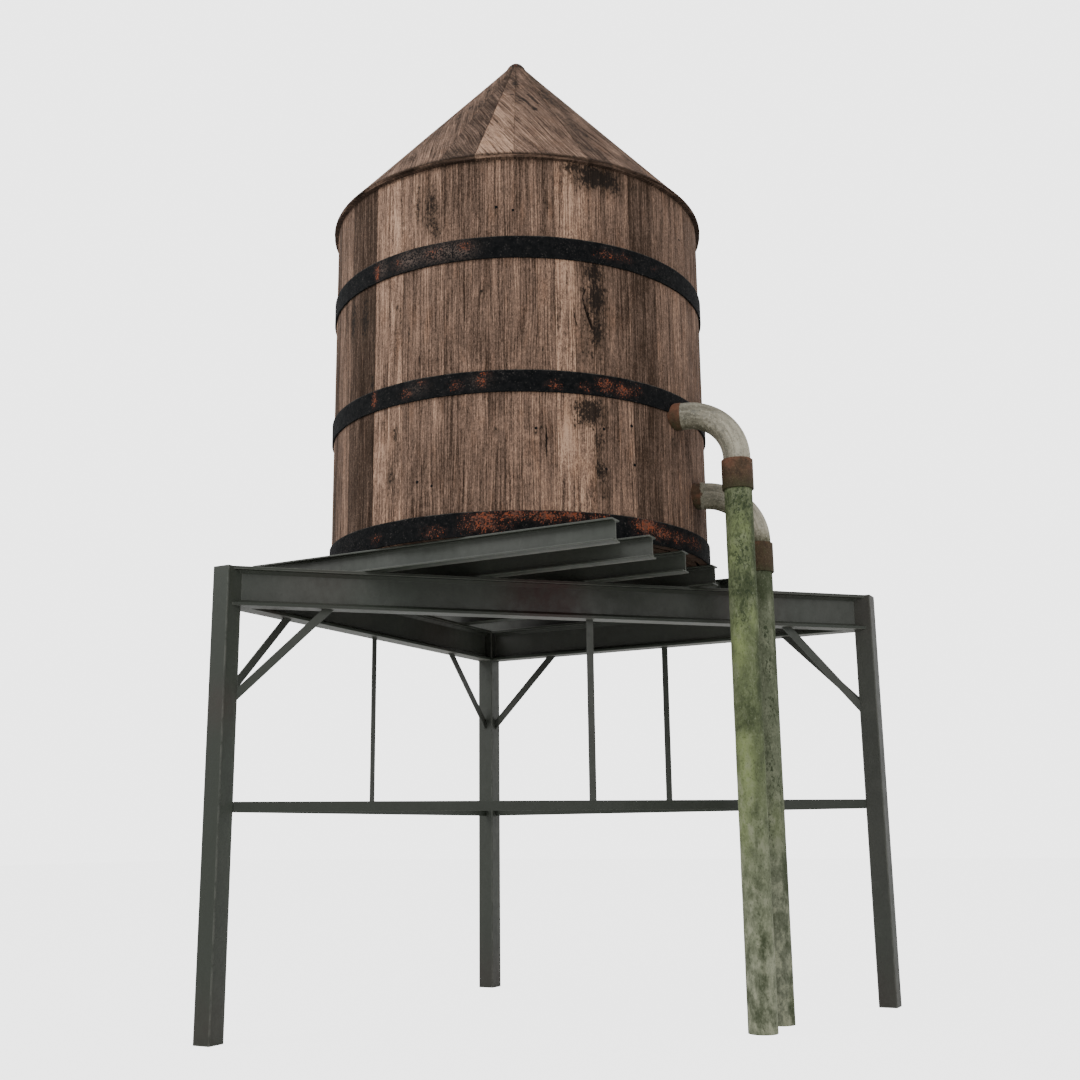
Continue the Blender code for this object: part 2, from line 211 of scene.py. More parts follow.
def filleted(corners, radii, fade, steps=3):
    """A closed anticlockwise outline with its corners rounded.

    Each corner is cut back by radius / tan(half its angle). Its arc turns about a centre that lies one
    radius square off the edge, in equal steps. One more point stands a fade before and after each arc.
    The second result is 1 on the outward arcs and 0 elsewhere.
    """
    corners = np.asarray(corners, float)
    back, ahead = (np.roll(corners, shift, axis=0) - corners for shift in (1, -1))
    back /= np.linalg.norm(back, axis=1, keepdims=True)
    ahead /= np.linalg.norm(ahead, axis=1, keepdims=True)
    half = np.arccos(np.clip(np.sum(back * ahead, axis=1), -1, 1))[:, None] / 2
    side = np.sign(back[:, 1] * ahead[:, 0] - back[:, 0] * ahead[:, 1])[:, None]
    first, last = (corners + edge * radii / np.tan(half) for edge in (back, ahead))
    centre = first + side * radii * np.stack([back[:, 1], -back[:, 0]], axis=1)
    turn = side * (np.pi - 2 * half) * np.linspace(0, 1, steps + 1)
    arm_x, arm_y = (first - centre).T[..., None]
    arc_x = centre[:, :1] + arm_x * np.cos(turn) - arm_y * np.sin(turn)
    arc_y = centre[:, 1:] + arm_x * np.sin(turn) + arm_y * np.cos(turn)
    arcs = np.stack([arc_x, arc_y], axis=-1)
    outline = np.concatenate([(first + back * fade)[:, None], arcs, (last + ahead * fade)[:, None]], axis=1)
    wear_and_highlight = np.zeros((len(corners), steps + 3))
    wear_and_highlight[:, 1:-1] = side > 0
    return outline.reshape(-1, 2), wear_and_highlight.ravel()


def oblong(half_wide, half_tall, radius, fade, steps=3):
    """The rounded outline of a bar of oblong section."""
    corners = np.array([(-1, -1), (1, -1), (1, 1), (-1, 1)]) * (half_wide, half_tall)
    return filleted(corners, radius, fade, steps)


def run_of(node):
    """The two ends of the line down the middle of a straight CAD bar, and the bar's two sizes across it."""
    low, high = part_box(node)
    sizes = list(high - low)
    axis = sizes.index(max(sizes))
    start, end = (low + high) / 2, (low + high) / 2
    start[axis], end[axis] = low[axis], high[axis]
    del sizes[axis]
    return start, end, *sizes


def carried(outline, start, end, step, chamfer, fade, starts=0.0, ends=0.0):
    """Rings of an outline carried along a line.

    Point j of the outline runs from starts[j] metres past the start to ends[j] metres past the end, so
    each end may be cut on a slant. The first and last rings are drawn in by the chamfer, and a ring stands
    one fade inside each. Results: the rings, a mask that is 1 on both end rings, and the metres run.
    """
    along = (end - start).normalized()
    upward = Vector((0, 0, 1)) if abs(along.z) < 0.9 else Vector((0, 1, 0))
    upward = (upward - along * upward.dot(along)).normalized()
    across = upward.cross(along)
    edge = np.roll(outline, -1, axis=0) - np.roll(outline, 1, axis=0)
    outward = np.stack([edge[:, 1], -edge[:, 0]], axis=1) / np.linalg.norm(edge, axis=1, keepdims=True)
    length = (end - start).length + ends - starts + 0 * outline[:, 0]
    reach = np.min(length)
    margin = (chamfer + fade) / reach
    inner = np.linspace(margin, 1 - margin, max(4, int(reach / step)))
    share = np.concatenate([[0, chamfer / reach], inner, [1 - chamfer / reach, 1]])[:, None]
    run = starts + length * share
    drawn_in = np.zeros((len(share), 1, 1))
    drawn_in[[0, -1]] = chamfer
    flat = outline - outward * drawn_in
    points = np.array(start) + flat[..., :1] * np.array(across) + flat[..., 1:] * np.array(upward)
    wear_and_highlight = np.zeros(run.shape)
    wear_and_highlight[[0, 1, -2, -1]] = 1
    return points + run[..., None] * np.array(along), wear_and_highlight, run


def skin(name, rings, masks, sheet=None):
    """A mesh object of closed solids, each a stack of closed rings with a face on either end.

    Point j of ring i of solid k is rings[k, i, j]. Every two neighbouring rings are joined by four-sided
    faces. Masks are numbers at the points, and sheet holds the two coordinates of the pattern there.
    """
    rings = rings.reshape(-1, *rings.shape[-3:])
    index = np.arange(rings[..., 0].size).reshape(rings.shape[:3])
    beside = np.roll(index, -1, axis=2)
    walls = np.stack([index[:, :-1], beside[:, :-1], beside[:, 1:], index[:, 1:]], axis=-1)
    faces = walls.reshape(-1, 4).tolist() + index[:, 0, ::-1].tolist() + index[:, -1].tolist()
    mesh = bpy.data.meshes.new(name)
    mesh.from_pydata(rings.reshape(-1, 3), [], faces)
    for label, values in masks.items():
        attribute = mesh.attributes.new(label, "FLOAT", "POINT")
        attribute.data.foreach_set("value", np.broadcast_to(values, index.shape).astype(np.float32).ravel())
    if sheet is not None:
        corners = np.zeros(len(mesh.loops), np.int32)
        mesh.loops.foreach_get("vertex_index", corners)
        flat = np.broadcast_to(sheet, (*index.shape, 2)).reshape(-1, 2)[corners]
        layer = mesh.uv_layers.new(name="metres")
        layer.data.foreach_set("uv", flat.astype(np.float32).ravel())
    mesh.shade_smooth()
    mesh.set_sharp_from_angle(angle=SHARP_FROM)
    return put(name, mesh)


def mount(piece, finish, slot, *nodes):
    """Gives a piece its finish and sets it on the tower in place of CAD nodes."""
    piece.data.materials.append(finish)
    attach(piece, "root")
    if nodes:
        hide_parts(*nodes)


def spots(points, places):
    """Soft round spots: for each centre, radius and strength, strength * exp(-(distance / radius)^2)."""
    total = np.zeros(points.shape[:-1])
    for centre, radius, strength in places:
        total += strength * np.exp(-((np.linalg.norm(points - np.array(centre), axis=-1) / radius) ** 2))
    return np.clip(total, 0, 1)


def mask(tree, name):
    """A mask that the mesh carries at each of its points."""
    return place(tree, "Attribute", attribute_name=name).outputs["Fac"]


def times(first, second):
    return place(first.id_data, "Math", {0: first, 1: second}, operation="MULTIPLY").outputs[0]


def plus(first, second):
    return place(first.id_data, "Math", {0: first, 1: second}, operation="ADD").outputs[0]


def shade(colour, rough, height, depth, specular=0.5):
    """The surface shader, with its relief from a height in a bump of so many metres."""
    tree = colour.id_data
    bump = place(tree, "Bump", {"Height": height, "Distance": depth, "Strength": 1.0}).outputs[0]
    inputs = {"Base Color": colour, "Roughness": rough, "Normal": bump, "Specular IOR Level": specular}
    place(tree, "OutputMaterial", {"Surface": place(tree, "BsdfPrincipled", inputs).outputs[0]})


def coats(colour, *layers):
    """A colour under coats, each a share between 0 and 1 and the colour that it lays over the rest."""
    for share, over in layers:
        colour = tint(share, colour, over)
    return colour


def painted_steel():
    made, tree, spot = new_material("painted_steel")
    broad = between(cloud(spot, (1.3, 1.3, 1.0), 3.0), 0.35, 0.65)
    mottle = between(cloud(spot, (16.0, 16.0, 11.0), 6.0, 0.65), 0.3, 0.7)
    grit = cloud(spot, 150.0, 3.0, 0.6)
    colour = coats(
        tint(broad, (0.030, 0.0325, 0.0255), (0.046, 0.0485, 0.0385)),
        (between(cloud(spot, (0.7, 0.9, 0.6), 2.0), 0.42, 0.66, 0.0, 0.55), (0.028, 0.040, 0.0265)),
        (times(mottle, 0.45), (0.026, 0.027, 0.023)),
        (between(cloud(spot, (7.0, 7.0, 5.0), 5.0, 0.7), 0.56, 0.74, 0.0, 0.30), (0.078, 0.079, 0.068)),
        # Painted shade, laid where each piece's shade mask lies
        (times(mask(tree, "painted_shade"), 0.85), (0.013, 0.018, 0.010)),
        (times(mask(tree, "rust"), between(mottle, 0.0, 0.8, 0.55, 1.0)), (0.030, 0.013, 0.010)),
        # Pale where the paint is worn at edges and ends, and a painted highlight on the bars' soles
        (times(mask(tree, "wear_and_highlight"), between(mottle, 0.25, 0.75, 0.075, 0.5)), (0.125, 0.128, 0.110)),
    )
    shade(colour, between(mottle, 0.0, 1.0, 0.42, 0.60), plus(times(mottle, 0.7), times(grit, 0.3)), 0.0012)
    return made


def leg(name):
    start, end, wide, deep = run_of(name)
    outline, edge = oblong(wide / 2, deep / 2, LEG_CORNER, LEG_CORNER_FADE)
    rings, ends, _ = carried(outline, start, end, LEG_STEP, LEG_END, LEG_END_FADE)
    outer = np.clip((start.y - rings[..., 1]) / (deep / 2), 0, 1) ** 4
    masks = {"wear_and_highlight": np.maximum(edge * 0.75, ends), "rust": spots(rings, LEG_RUST[name])}
    # Painted shade on the leg's outer face
    masks["painted_shade"] = LEG_PAINTED_SHADE[name] * outer
    mount(skin(name + "_column", rings, masks), steel, "painted_steel", name)


steel = painted_steel()
for leg_name in LEG_RUST:
    leg(leg_name)


# Main beams and joists
# Rolled I-sections, whose flanges meet the web on sloping roots. The front beam runs from corner to
# corner of the open side and is cut square to the legs. Their ends are sawn, with bare bright edges.

BEAM_SECTION = {"web": 0.014, "flange": 0.024, "root": 0.026, "toe": 0.003}
JOIST_SECTION = {"web": 0.010, "flange": 0.013, "root": 0.012, "toe": 0.002}
BAR_STEP = 0.05
FACE_SLACK = 0.0005
SEAM = 0.0003
SIDE_BEAM_RUST = [((-1.73, -1.50, 3.10), 0.16, 0.6), ((-1.70, 0.9, 3.2), 0.30, 0.4)]
FRONT_BEAM_RUST = [
    ((-0.02, -0.28, 3.25), 0.27, 1.0),
    ((0.12, -0.13, 3.18), 0.22, 0.9),
    ((1.30, 1.03, 3.25), 0.30, 0.55),
    ((-1.15, -1.42, 3.30), 0.25, 0.25),
]


def rolled_section(width, depth, web, flange, root, toe):
    """Half the outline goes down the right side from the top; the other half is its mirror."""
    right = [
        (width / 2, -depth / 2),
        (width / 2, -depth / 2 + flange),
        (web / 2 + root, -depth / 2 + flange),
        (web / 2, -depth / 2 + flange + root),
    ]
    right += [(x, -z) for x, z in reversed(right)]
    return filleted(right + [(-x, -z) for x, z in right], toe, toe * 1.2)


def rolled_bar(node, section, start, end, width, depth, rust=(), shadow=0.0, cuts=None):
    """A rolled bar between two points on its centre line. Each cut is the level normal of its end.

    The sides and the soffit under the top flange get painted shade; the lit sole, a painted highlight.
    """
    outline, edge = rolled_section(width, depth, **section)
    x, z = outline.T
    along = (end - start).normalized()
    across = Vector((0, 0, 1)).cross(along)
    slants = [-x * across.dot(cut) / along.dot(cut) for cut in cuts or (along, along)]
    toe = section["toe"]
    rings, sawn, run = carried(outline, start, end, BAR_STEP, toe, toe * 2.5, *slants)
    beside = np.abs(x) > width / 2 - FACE_SLACK
    soffit = (z > depth / 2 - section["flange"] - section["root"]) & (z < depth / 2 - toe)
    sole = z < FACE_SLACK - depth / 2
    # Painted shade on the toe faces, the soffit, a beam's lower toes and a joist's near sole
    if section is BEAM_SECTION:
        low_toe = (np.abs(x) > width / 2 - toe) & (z < 0) & (z > toe * 0.9 - depth / 2)
        edge = np.where(low_toe, 0.0, edge)
        painted_shade = np.select([low_toe, edge > 0, beside, soffit], [1.2, 0.0, 1.0, 0.7], 0.0)
    else:
        painted_shade = np.select([edge > 0, beside, soffit, sole & (x < 0)], [0.0, 1.0, 0.7, 1.2], 0.0)
        sole = sole & (x > 0)
    # Worn edges, and a painted highlight on the sole that brightens along the run
    wear_and_sole_highlight = edge + 1.8 * sole * np.clip((run - 0.6) / 2.3, 0.15, 1)
    masks = {"wear_and_highlight": np.maximum(wear_and_sole_highlight, sawn), "rust": spots(rings, rust)}
    # Painted shadow that deepens along the run, by the shadow given
    masks["painted_shade"] = np.maximum(painted_shade, shadow * np.clip((run - 0.8) / 1.6, 0, 1))
    mount(skin(node + "_bar", rings, masks), steel, "painted_steel", node)


def toward(leg_name, other_name, level):
    """The point of one leg's axis at a level, and the direction from there to another leg."""
    near, far = (sum(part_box(name), Vector()) / 2 for name in (leg_name, other_name))
    return Vector((near.x, near.y, level)), (far - near).normalized()


def front_beam():
    """It has the side beam's section, and each end is cut along the face of the leg that it meets."""
    beside, _, width, depth = run_of("beam_left")
    corner, ahead = toward("leg_left", "leg_right", beside.z)
    start = corner + ahead * ((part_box("leg_left")[1].x + SEAM - corner.x) / ahead.x)
    end = corner + ahead * ((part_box("leg_right")[0].y - SEAM - corner.y) / ahead.y)
    cuts = Vector((1, 0, 0)), Vector((0, 1, 0))
    rolled_bar("beam_front", BEAM_SECTION, start, end, width, depth, FRONT_BEAM_RUST, 0.4, cuts)


rolled_bar("beam_left", BEAM_SECTION, *run_of("beam_left"), SIDE_BEAM_RUST)
rolled_bar("beam_back", BEAM_SECTION, *run_of("beam_back"))
front_beam()
for number in range(1, 7):
    rolled_bar(f"joist_{number}", JOIST_SECTION, *run_of(f"joist_{number}"), shadow=0.15)


# Flat bars
# Ties between the legs, hangers from the beams to the ties, and knee braces, cut from flat bar with its
# edges just broken. The front hanger and two plates between the last joists keep the CAD's own shape
# under the same paint.

BAR_THICK = 0.014
BAR_EDGE = 0.0015
TIE_GAP = 0.1065
BRACE_WIDTH = 0.064
# Each side of the platform: its name, its two legs, and how far from them a brace's foot and top lie
SIDES = [
    ("side", "left", "back", 0.0753, 0.700),
    ("rear", "back", "right", 0.0753, 0.700),
    ("front", "left", "right", 0.1000, 0.749),
]


def flat_bar(node, start, end, thick, wide, cut_start=0.0, cut_end=0.0):
    """A bar wide in its upright plane. A cut is the metres that an end leans for each metre of width."""
    outline, edge = oblong(thick / 2, wide / 2, BAR_EDGE, BAR_EDGE)
    slants = outline[:, 1] * cut_start, outline[:, 1] * cut_end
    rings, sawn, _ = carried(outline, start, end, BAR_STEP, BAR_EDGE, BAR_EDGE * 3, *slants)
    # Painted shade: full on the ties, a little on the other bars
    masks = {"wear_and_highlight": np.maximum(edge, sawn) * 0.5, "rust": 0.0, "painted_shade": 1.0 if "tie" in node else 0.3}
    mount(skin(node + "_bar", rings, masks), steel, "painted_steel", node)


def front_tie():
    low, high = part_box("tie_front")
    near, ahead = toward("leg_left", "leg_right", (low.z + high.z) / 2)
    far, back = toward("leg_right", "leg_left", (low.z + high.z) / 2)
    flat_bar("tie_front", near + ahead * TIE_GAP, far + back * TIE_GAP, BAR_THICK, high.z - low.z)


def brace(node, leg_name, other_name, foot, reach):
    """It leans at 45 degrees from one leg towards another, its foot cut upright and its top cut level."""
    corner, ahead = toward(leg_name, other_name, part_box(node)[1].z)
    start = corner + ahead * foot - Vector((0, 0, reach - foot))
    flat_bar(node, start, corner + ahead * reach, BAR_THICK, BRACE_WIDTH, 1.0, -1.0)


for node in ("tie_left", "hanger_left", "hanger_back", "tie_back"):
    flat_bar(node, *run_of(node))
front_tie()
for side, one, other, foot, reach in SIDES:
    for here, there in ((one, other), (other, one)):
        brace(f"brace_{here}_{side}", f"leg_{here}", f"leg_{there}", foot, reach)
for node in ("hanger_front", "blocking_inner", "blocking_outer"):
    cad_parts[node].data.materials.clear()
    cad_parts[node].data.materials.append(steel)


# Tank wall
# Sixty-six softwood staves stand on end round the floor, each 60 mm thick with its edges just rounded,
# and only the hoops hold them. The weather has raised the grain, split it and stained it in places.

TANK_X, TANK_Y = (sum(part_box("tank_floor"), Vector()) / 2)[:2]
WALL_RADIUS = 1.591
WALL_THICK = 0.060
JOINT_GAP = 0.0008
STAVE_COUNT = 11
# Rows of points up a stave and points across its face, on the sixths that the camera sees and the others
SEEN_GRID = (236, 19)
PLAIN_GRID = (60, 7)
NAIL_STREAK = (0.012, 0.035, 0.40)
STAVE_EDGE = np.array([0.0, 0.0008, 0.0024, 0.0055])
STAVE_EDGE_SUNK = np.array([0.0020, 0.0009, 0.0003, 0.0])
STAVE_LEVELS = (3.72, 4.62, 4.80, 5.70, 5.89, 6.50)
# The front staves, in two sixths of the wall: joints in degrees, then each one's tone in the three bays
SEEN_STAVES = {
    5: (
        (-120, -113.2, -106.3, -100.6, -95.2, -89, -81.6, -77.4, -73.6, -69, -64.5, -60),
        (0.15, 0.05, 0.77, 0.74, 0.5, 0.5, 0.33, 0.54, 0.57, 0.45, 0.65),
        (0.07, 0.05, 0.7, 0.76, 0.47, 0.57, 0.46, 0.51, 0.48, 0.5, 0.55),
        (0.17, 0.09, 0.73, 0.95, 0.71, 0.61, 0.48, 0.37, 0.52, 0.64, 0.53),
    ),
    6: (
        (-60, -55.2, -50.4, -44.8, -39.4, -36.3, -31.6, -26.9, -21.8, -16.8, -8.5, 0),
        (0.6, 0.63, 0.9, 0.92, 0.47, 0.43, 0.6, 0.24, 0.19, 0.42, 0.52),
        (0.49, 0.67, 0.94, 0.6, 0.5, 0.42, 0.38, 0.2, 0.21, 0.5, 0.62),
        (0.51, 0.46, 0.88, 0.76, 0.47, 0.52, 0.56, 0.16, 0.23, 0.43, 0.54),
    ),
}
# Each stain: degrees round the tank, height, half width, half height, strength
WALL_STAINS = [
    (-44, 6.49, 0.12, 0.05, 0.8), (-38.5, 6.45, 0.2, 0.11, 1.15), (-33.5, 6.44, 0.13, 0.11, 0.95),
    (-24, 6.44, 0.1, 0.06, 0.5), (-39.2, 5.63, 0.095, 0.1, 1.02), (-38.4, 5.42, 0.09, 0.16, 1.08),
    (-38.6, 5.14, 0.08, 0.15, 0.86), (-39.2, 5.35, 0.17, 0.45, 0.45), (-41.5, 4.95, 0.08, 0.2, 0.35),
    (-71, 5.447, 0.02, 0.016, 0.75), (-97.5, 5.434, 0.016, 0.03, 0.8), (-93, 5.196, 0.01, 0.07, 0.65),
    (-54.1, 4.96, 0.01, 0.06, 0.6), (-53.45, 4.235, 0.009, 0.11, 1.15),
    (-54.9, 4.352, 0.024, 0.008, 0.8), (-37.5, 4.92, 0.035, 0.12, 0.5), (-41.2, 4.5, 0.13, 0.13, 0.98),
    (-37.5, 4.44, 0.05, 0.07, 0.55), (-38.6, 4.24, 0.055, 0.14, 0.65), (-38.2, 4.04, 0.06, 0.13, 0.7),
    (-36.8, 3.86, 0.05, 0.08, 0.4), (-45.6, 4.4, 0.012, 0.09, 0.7), (-86.2, 6.2, 0.07, 0.22, 0.7),
    (-90.5, 6.28, 0.035, 0.22, 0.45), (-13.1, 6.353, 0.016, 0.02, 0.55),
    (-13.1, 6.24, 0.014, 0.085, 0.45), (-42.6, 5.26, 0.03, 0.06, 0.3), (-84.5, 5.99, 0.05, 0.07, 0.7),
    (-118.5, 5.5, 0.05, 0.2, 0.8), (-111.5, 5.45, 0.06, 0.22, 0.8), (-98.8, 4.06, 0.04, 0.08, 0.6),
    (-97.6, 4.4, 0.035, 0.07, 0.5), (-10.6, 4.4, 0.05, 0.06, 0.5), (-66.9, 4.32, 0.03, 0.035, 0.35),
    (-52.4, 6.16, 0.03, 0.04, 0.45), (-69.3, 5.47, 0.05, 0.04, 0.3), (-96, 5.35, 0.02, 0.1, 0.45),
    (-107.3, 4.86, 0.03, 0.1, 0.8), (-107.4, 5.3, 0.02, 0.4, 0.4), (150, 5.2, 0.1, 0.25, 0.8),
    (95, 4.3, 0.12, 0.18, 0.7), (40, 6.4, 0.2, 0.1, 0.9), (-150, 4.4, 0.09, 0.2, 0.7),
]
# Each split: degrees and height of its two ends, half width and depth
WALL_SPLITS = [
    ((-42.2, 5.37), (-39.7, 5.155), 0.013, 0.024), ((-41.3, 5.5), (-42.6, 5.42), 0.008, 0.01),
    ((-42.6, 5.42), (-42.2, 5.36), 0.008, 0.01), ((-45.2, 5.29), (-44.4, 5.17), 0.006, 0.01),
    ((-53.5, 4.36), (-53.35, 4.11), 0.005, 0.01), ((-89.7, 5.05), (-89.4, 4.9), 0.005, 0.008),
    ((-21, 4.62), (-20.6, 4.3), 0.005, 0.008),
]
# Each nail: degrees round the tank and height
WALL_NAILS = [
    (-37, 4.372), (-56.2, 4.342), (-62, 6.106), (-66.7, 6.136), (-89.8, 3.986), (-85.2, 3.939),
    (-36.5, 4.06), (-27.9, 4.432), (-27.2, 4.125), (-3.2, 6.201),
]
# Wood colours from the darkest grain to the palest
GRAIN_STOPS = (
    (0.05, (0.012, 0.0065, 0.0035)),
    (0.30, (0.048, 0.0295, 0.0200)),
    (0.50, (0.130, 0.084, 0.062)),
    (0.70, (0.252, 0.156, 0.109)),
    (0.95, (0.470, 0.300, 0.205)),
)


def together(*parts):
    """Coordinates side by side on a new last axis."""
    return np.stack(np.broadcast_arrays(*parts), axis=-1)


def round_tank(radius, angle, height):
    """Points at a distance from the tank's axis, an angle round it and a height."""
    return together(TANK_X + radius * np.cos(angle), TANK_Y + radius * np.sin(angle), height)


def strongest(*parts):
    return np.max(np.broadcast_arrays(*parts), axis=0)


def turned(angle, degrees):
    """The angle past so many degrees, taken the short way round."""
    return (angle - np.radians(degrees) + np.pi) % (2 * np.pi) - np.pi


def waves(u, v, seed, across, along, count=6):
    """Smooth unevenness between -1 and 1: the mean of sines of seeded direction, length and phase."""
    dice = np.random.default_rng(seed)
    total = 0.0
    for _ in range(count):
        slope_u = dice.uniform(0.5, 1.5) / across
        slope_v = dice.uniform(-1.0, 1.0) / along
        total = total + np.sin(2 * np.pi * (u * slope_u + v * slope_v + dice.uniform()))
    return total / count


def oval(across, up, wide, tall, strength):
    """A soft oval spot: strength * exp(-(across / wide)^2 - (up / tall)^2)."""
    return strength * np.exp(-((across / wide) ** 2) - (up / tall) ** 2)


def ovals(angle, height, places, reach=WALL_RADIUS):
    """The strongest of many oval spots. Reach is the metres across for each radian."""
    found = []
    for degrees, level, *rest in places:
        found.append(oval(turned(angle, degrees) * reach, height - level, *rest))
    return strongest(*found)


def split_depth(angle, height):
    """Depth of the splits: a V that deepens towards the middle of each split's length."""
    depths = []
    for (degrees_a, level_a), (degrees_b, level_b), wide, depth in WALL_SPLITS:
        share = (height - level_a) / (level_b - level_a)
        away = turned(angle, degrees_a + (degrees_b - degrees_a) * share) * WALL_RADIUS
        swell = np.clip(4 * share * (1 - share), 0, 1) ** 0.5
        depths.append(depth * swell * np.clip(1 - np.abs(away) / wide, 0, 1))
    return strongest(*depths)


def frayed(value, pattern, amount):
    """A mask whose border is broken up by a pattern."""
    return plus(value, between(pattern, 0.3, 0.7, -amount, amount))


def grain_group():
    """Weathered softwood along the second sheet axis: fibres, growth lines, streaks, grit and stains,
    the stains also laying painted shade.
    """
    tree = bpy.data.node_groups.new("grain", "ShaderNodeTree")
    for label, kind in (("Sheet", "Vector"), ("Tone", "Float"), ("Stain_and_shade", "Float"), ("Contrast", "Float")):
        tree.interface.new_socket(label, in_out="INPUT", socket_type="NodeSocket" + kind)
    for label, kind in (("Colour", "Color"), ("Height", "Float")):
        tree.interface.new_socket(label, in_out="OUTPUT", socket_type="NodeSocket" + kind)
    given, result = tree.nodes.new("NodeGroupInput"), tree.nodes.new("NodeGroupOutput")
    sheet, tone, stain_and_shade, contrast = given.outputs[:4]
    bend = between(cloud(sheet, (1.6, 0.9), 2.0), 0.0, 1.0, -0.035, 0.035)
    shift = place(tree, "CombineXYZ", {"X": bend}).outputs[0]
    sheet = place(tree, "VectorMath", {0: sheet, 1: shift}, operation="ADD").outputs[0]
    fibre = cloud(sheet, (98.0, 1.1), 4.0, 0.62, 0.15)
    fleck = cloud(sheet, (90.0, 24.0), 4.0, 0.62, 0.3)
    grit = cloud(sheet, (105.0, 72.0), 3.0, 0.6)
    streak = cloud(sheet, (24.0, 0.55), 3.0, 0.55)
    blotch = cloud(sheet, (5.0, 2.2), 4.0, 0.6)
    mottle = cloud(sheet, (46.0, 27.0), 5.0, 0.7)
    drift = cloud(sheet, (11.0, 6.0), 3.0, 0.6)
    years = times(cloud(sheet, (4.2, 0.40), 1.0, 0.5), 13.0)
    lines = place(tree, "Math", {0: years, 1: 0.5}, operation="PINGPONG").outputs[0]
    height = plus(between(lines, 0.30, 0.5, 0.0, 0.13), 0.47)
    for part, weight in ((fibre, 1.55), (fleck, 0.95), (grit, 0.70), (streak, 0.36), (blotch, 0.60)):
        height = plus(height, between(part, 0.0, 1.0, -0.5 * weight, 0.5 * weight))
    swing = times(plus(height, -0.5), contrast)
    swing = times(swing, between(tone, 0.05, 0.90, 0.76, 1.18))
    swing = times(swing, between(tone, 0.60, 0.95, 1.0, 1.28))
    ramp = place(tree, "ValToRGB", {0: plus(swing, between(tone, 0.0, 1.0, 0.25, 0.75))})
    while len(ramp.color_ramp.elements) < len(GRAIN_STOPS):
        ramp.color_ramp.elements.new(0.5)
    for element, (where, colour) in zip(ramp.color_ramp.elements, GRAIN_STOPS):
        element.position = where
        element.color = (*colour, 1.0)
    warm = between(cloud(sheet, (9.0, 3.0)), 0.52, 0.72, 0.0, 0.4)
    pores = between(cloud(sheet, (130.0, 34.0), 2.0, 0.6), 0.60, 0.72, 0.0, 0.6)
    chips = between(cloud(sheet, (88.0, 36.0), 3.0, 0.6), 0.64, 0.74, 0.0, 0.5)
    ragged = frayed(frayed(frayed(stain_and_shade, mottle, 0.55), grit, 0.25), drift, 0.20)
    reach = between(stain_and_shade, 0.02, 0.25)
    colour = coats(
        tint(warm, ramp.outputs[0], (0.70, 0.55, 0.42), "MULTIPLY"),
        (pores, (0.018, 0.011, 0.007)),
        (chips, (0.40, 0.27, 0.19)),
        # Dark where the stain mask lies: real stains, and the painted shade that some pieces lay there
        (times(between(ragged, 0.05, 0.55, 0.0, 0.60), reach), (0.043, 0.028, 0.018)),
        (times(between(ragged, 0.50, 0.74, 0.0, 0.88), reach), (0.009, 0.007, 0.006)),
    )
    tree.links.new(colour, result.inputs["Colour"])
    tree.links.new(height, result.inputs["Height"])
    return tree


def timber(name, depth, contrast, coarse=1.0):
    """Bare weathered wood with its joints darkened, and painted shade where the joint mask lays it.
    A coarse of 2 makes the grain twice as wide.
    """
    made, tree, sheet = new_material(name, "UV")
    sheet = place(tree, "VectorMath", {0: sheet, "Scale": 1 / coarse}, operation="SCALE").outputs[0]
    inputs = {"Sheet": sheet, "Tone": mask(tree, "tone"), "Stain_and_shade": mask(tree, "stain_and_shade"), "Contrast": contrast}
    colour, height = place(tree, "Group", inputs, node_tree=grain).outputs
    # Joints darkened, and painted shade on the roof boards' undersides
    colour = tint(times(mask(tree, "joint_and_shade"), 0.70), colour, (0.016, 0.010, 0.007))
    shade(colour, between(height, 0.2, 0.8, 0.95, 0.78), height, depth, 0.10)
    return made


def stave_plan(number):
    """The joints of one sixth of the wall, in degrees, and its staves' tones in each of the three bays."""
    if number in SEEN_STAVES:
        joints, *tones = SEEN_STAVES[number]
        return np.array(joints), np.array(tones)
    dice = np.random.default_rng(70 + number)
    share = np.cumsum(dice.uniform(0.7, 1.3, STAVE_COUNT))
    joints = 60.0 * (number - 1 + np.concatenate([[0], share / share[-1]]))
    extreme = dice.uniform(size=STAVE_COUNT) < 0.22
    base = np.where(extreme, dice.choice([0.1, 0.9], STAVE_COUNT), dice.normal(0.5, 0.07, STAVE_COUNT))
    return joints, base + dice.normal(0, 0.04, (3, STAVE_COUNT))


def board_face(width, edge, edge_sunk, count):
    """Points across boards, close together at both rounded edges, and how far each is sunk."""
    flat = np.linspace(0, 1, count + 2)[1:-1]
    edge = edge + 0 * width
    rim = edge[..., -1:]
    face = np.concatenate([edge, rim + (width - 2 * rim) * flat, width - edge[..., ::-1]], axis=-1)
    return face, np.concatenate([edge_sunk, 0 * flat, edge_sunk[::-1]])


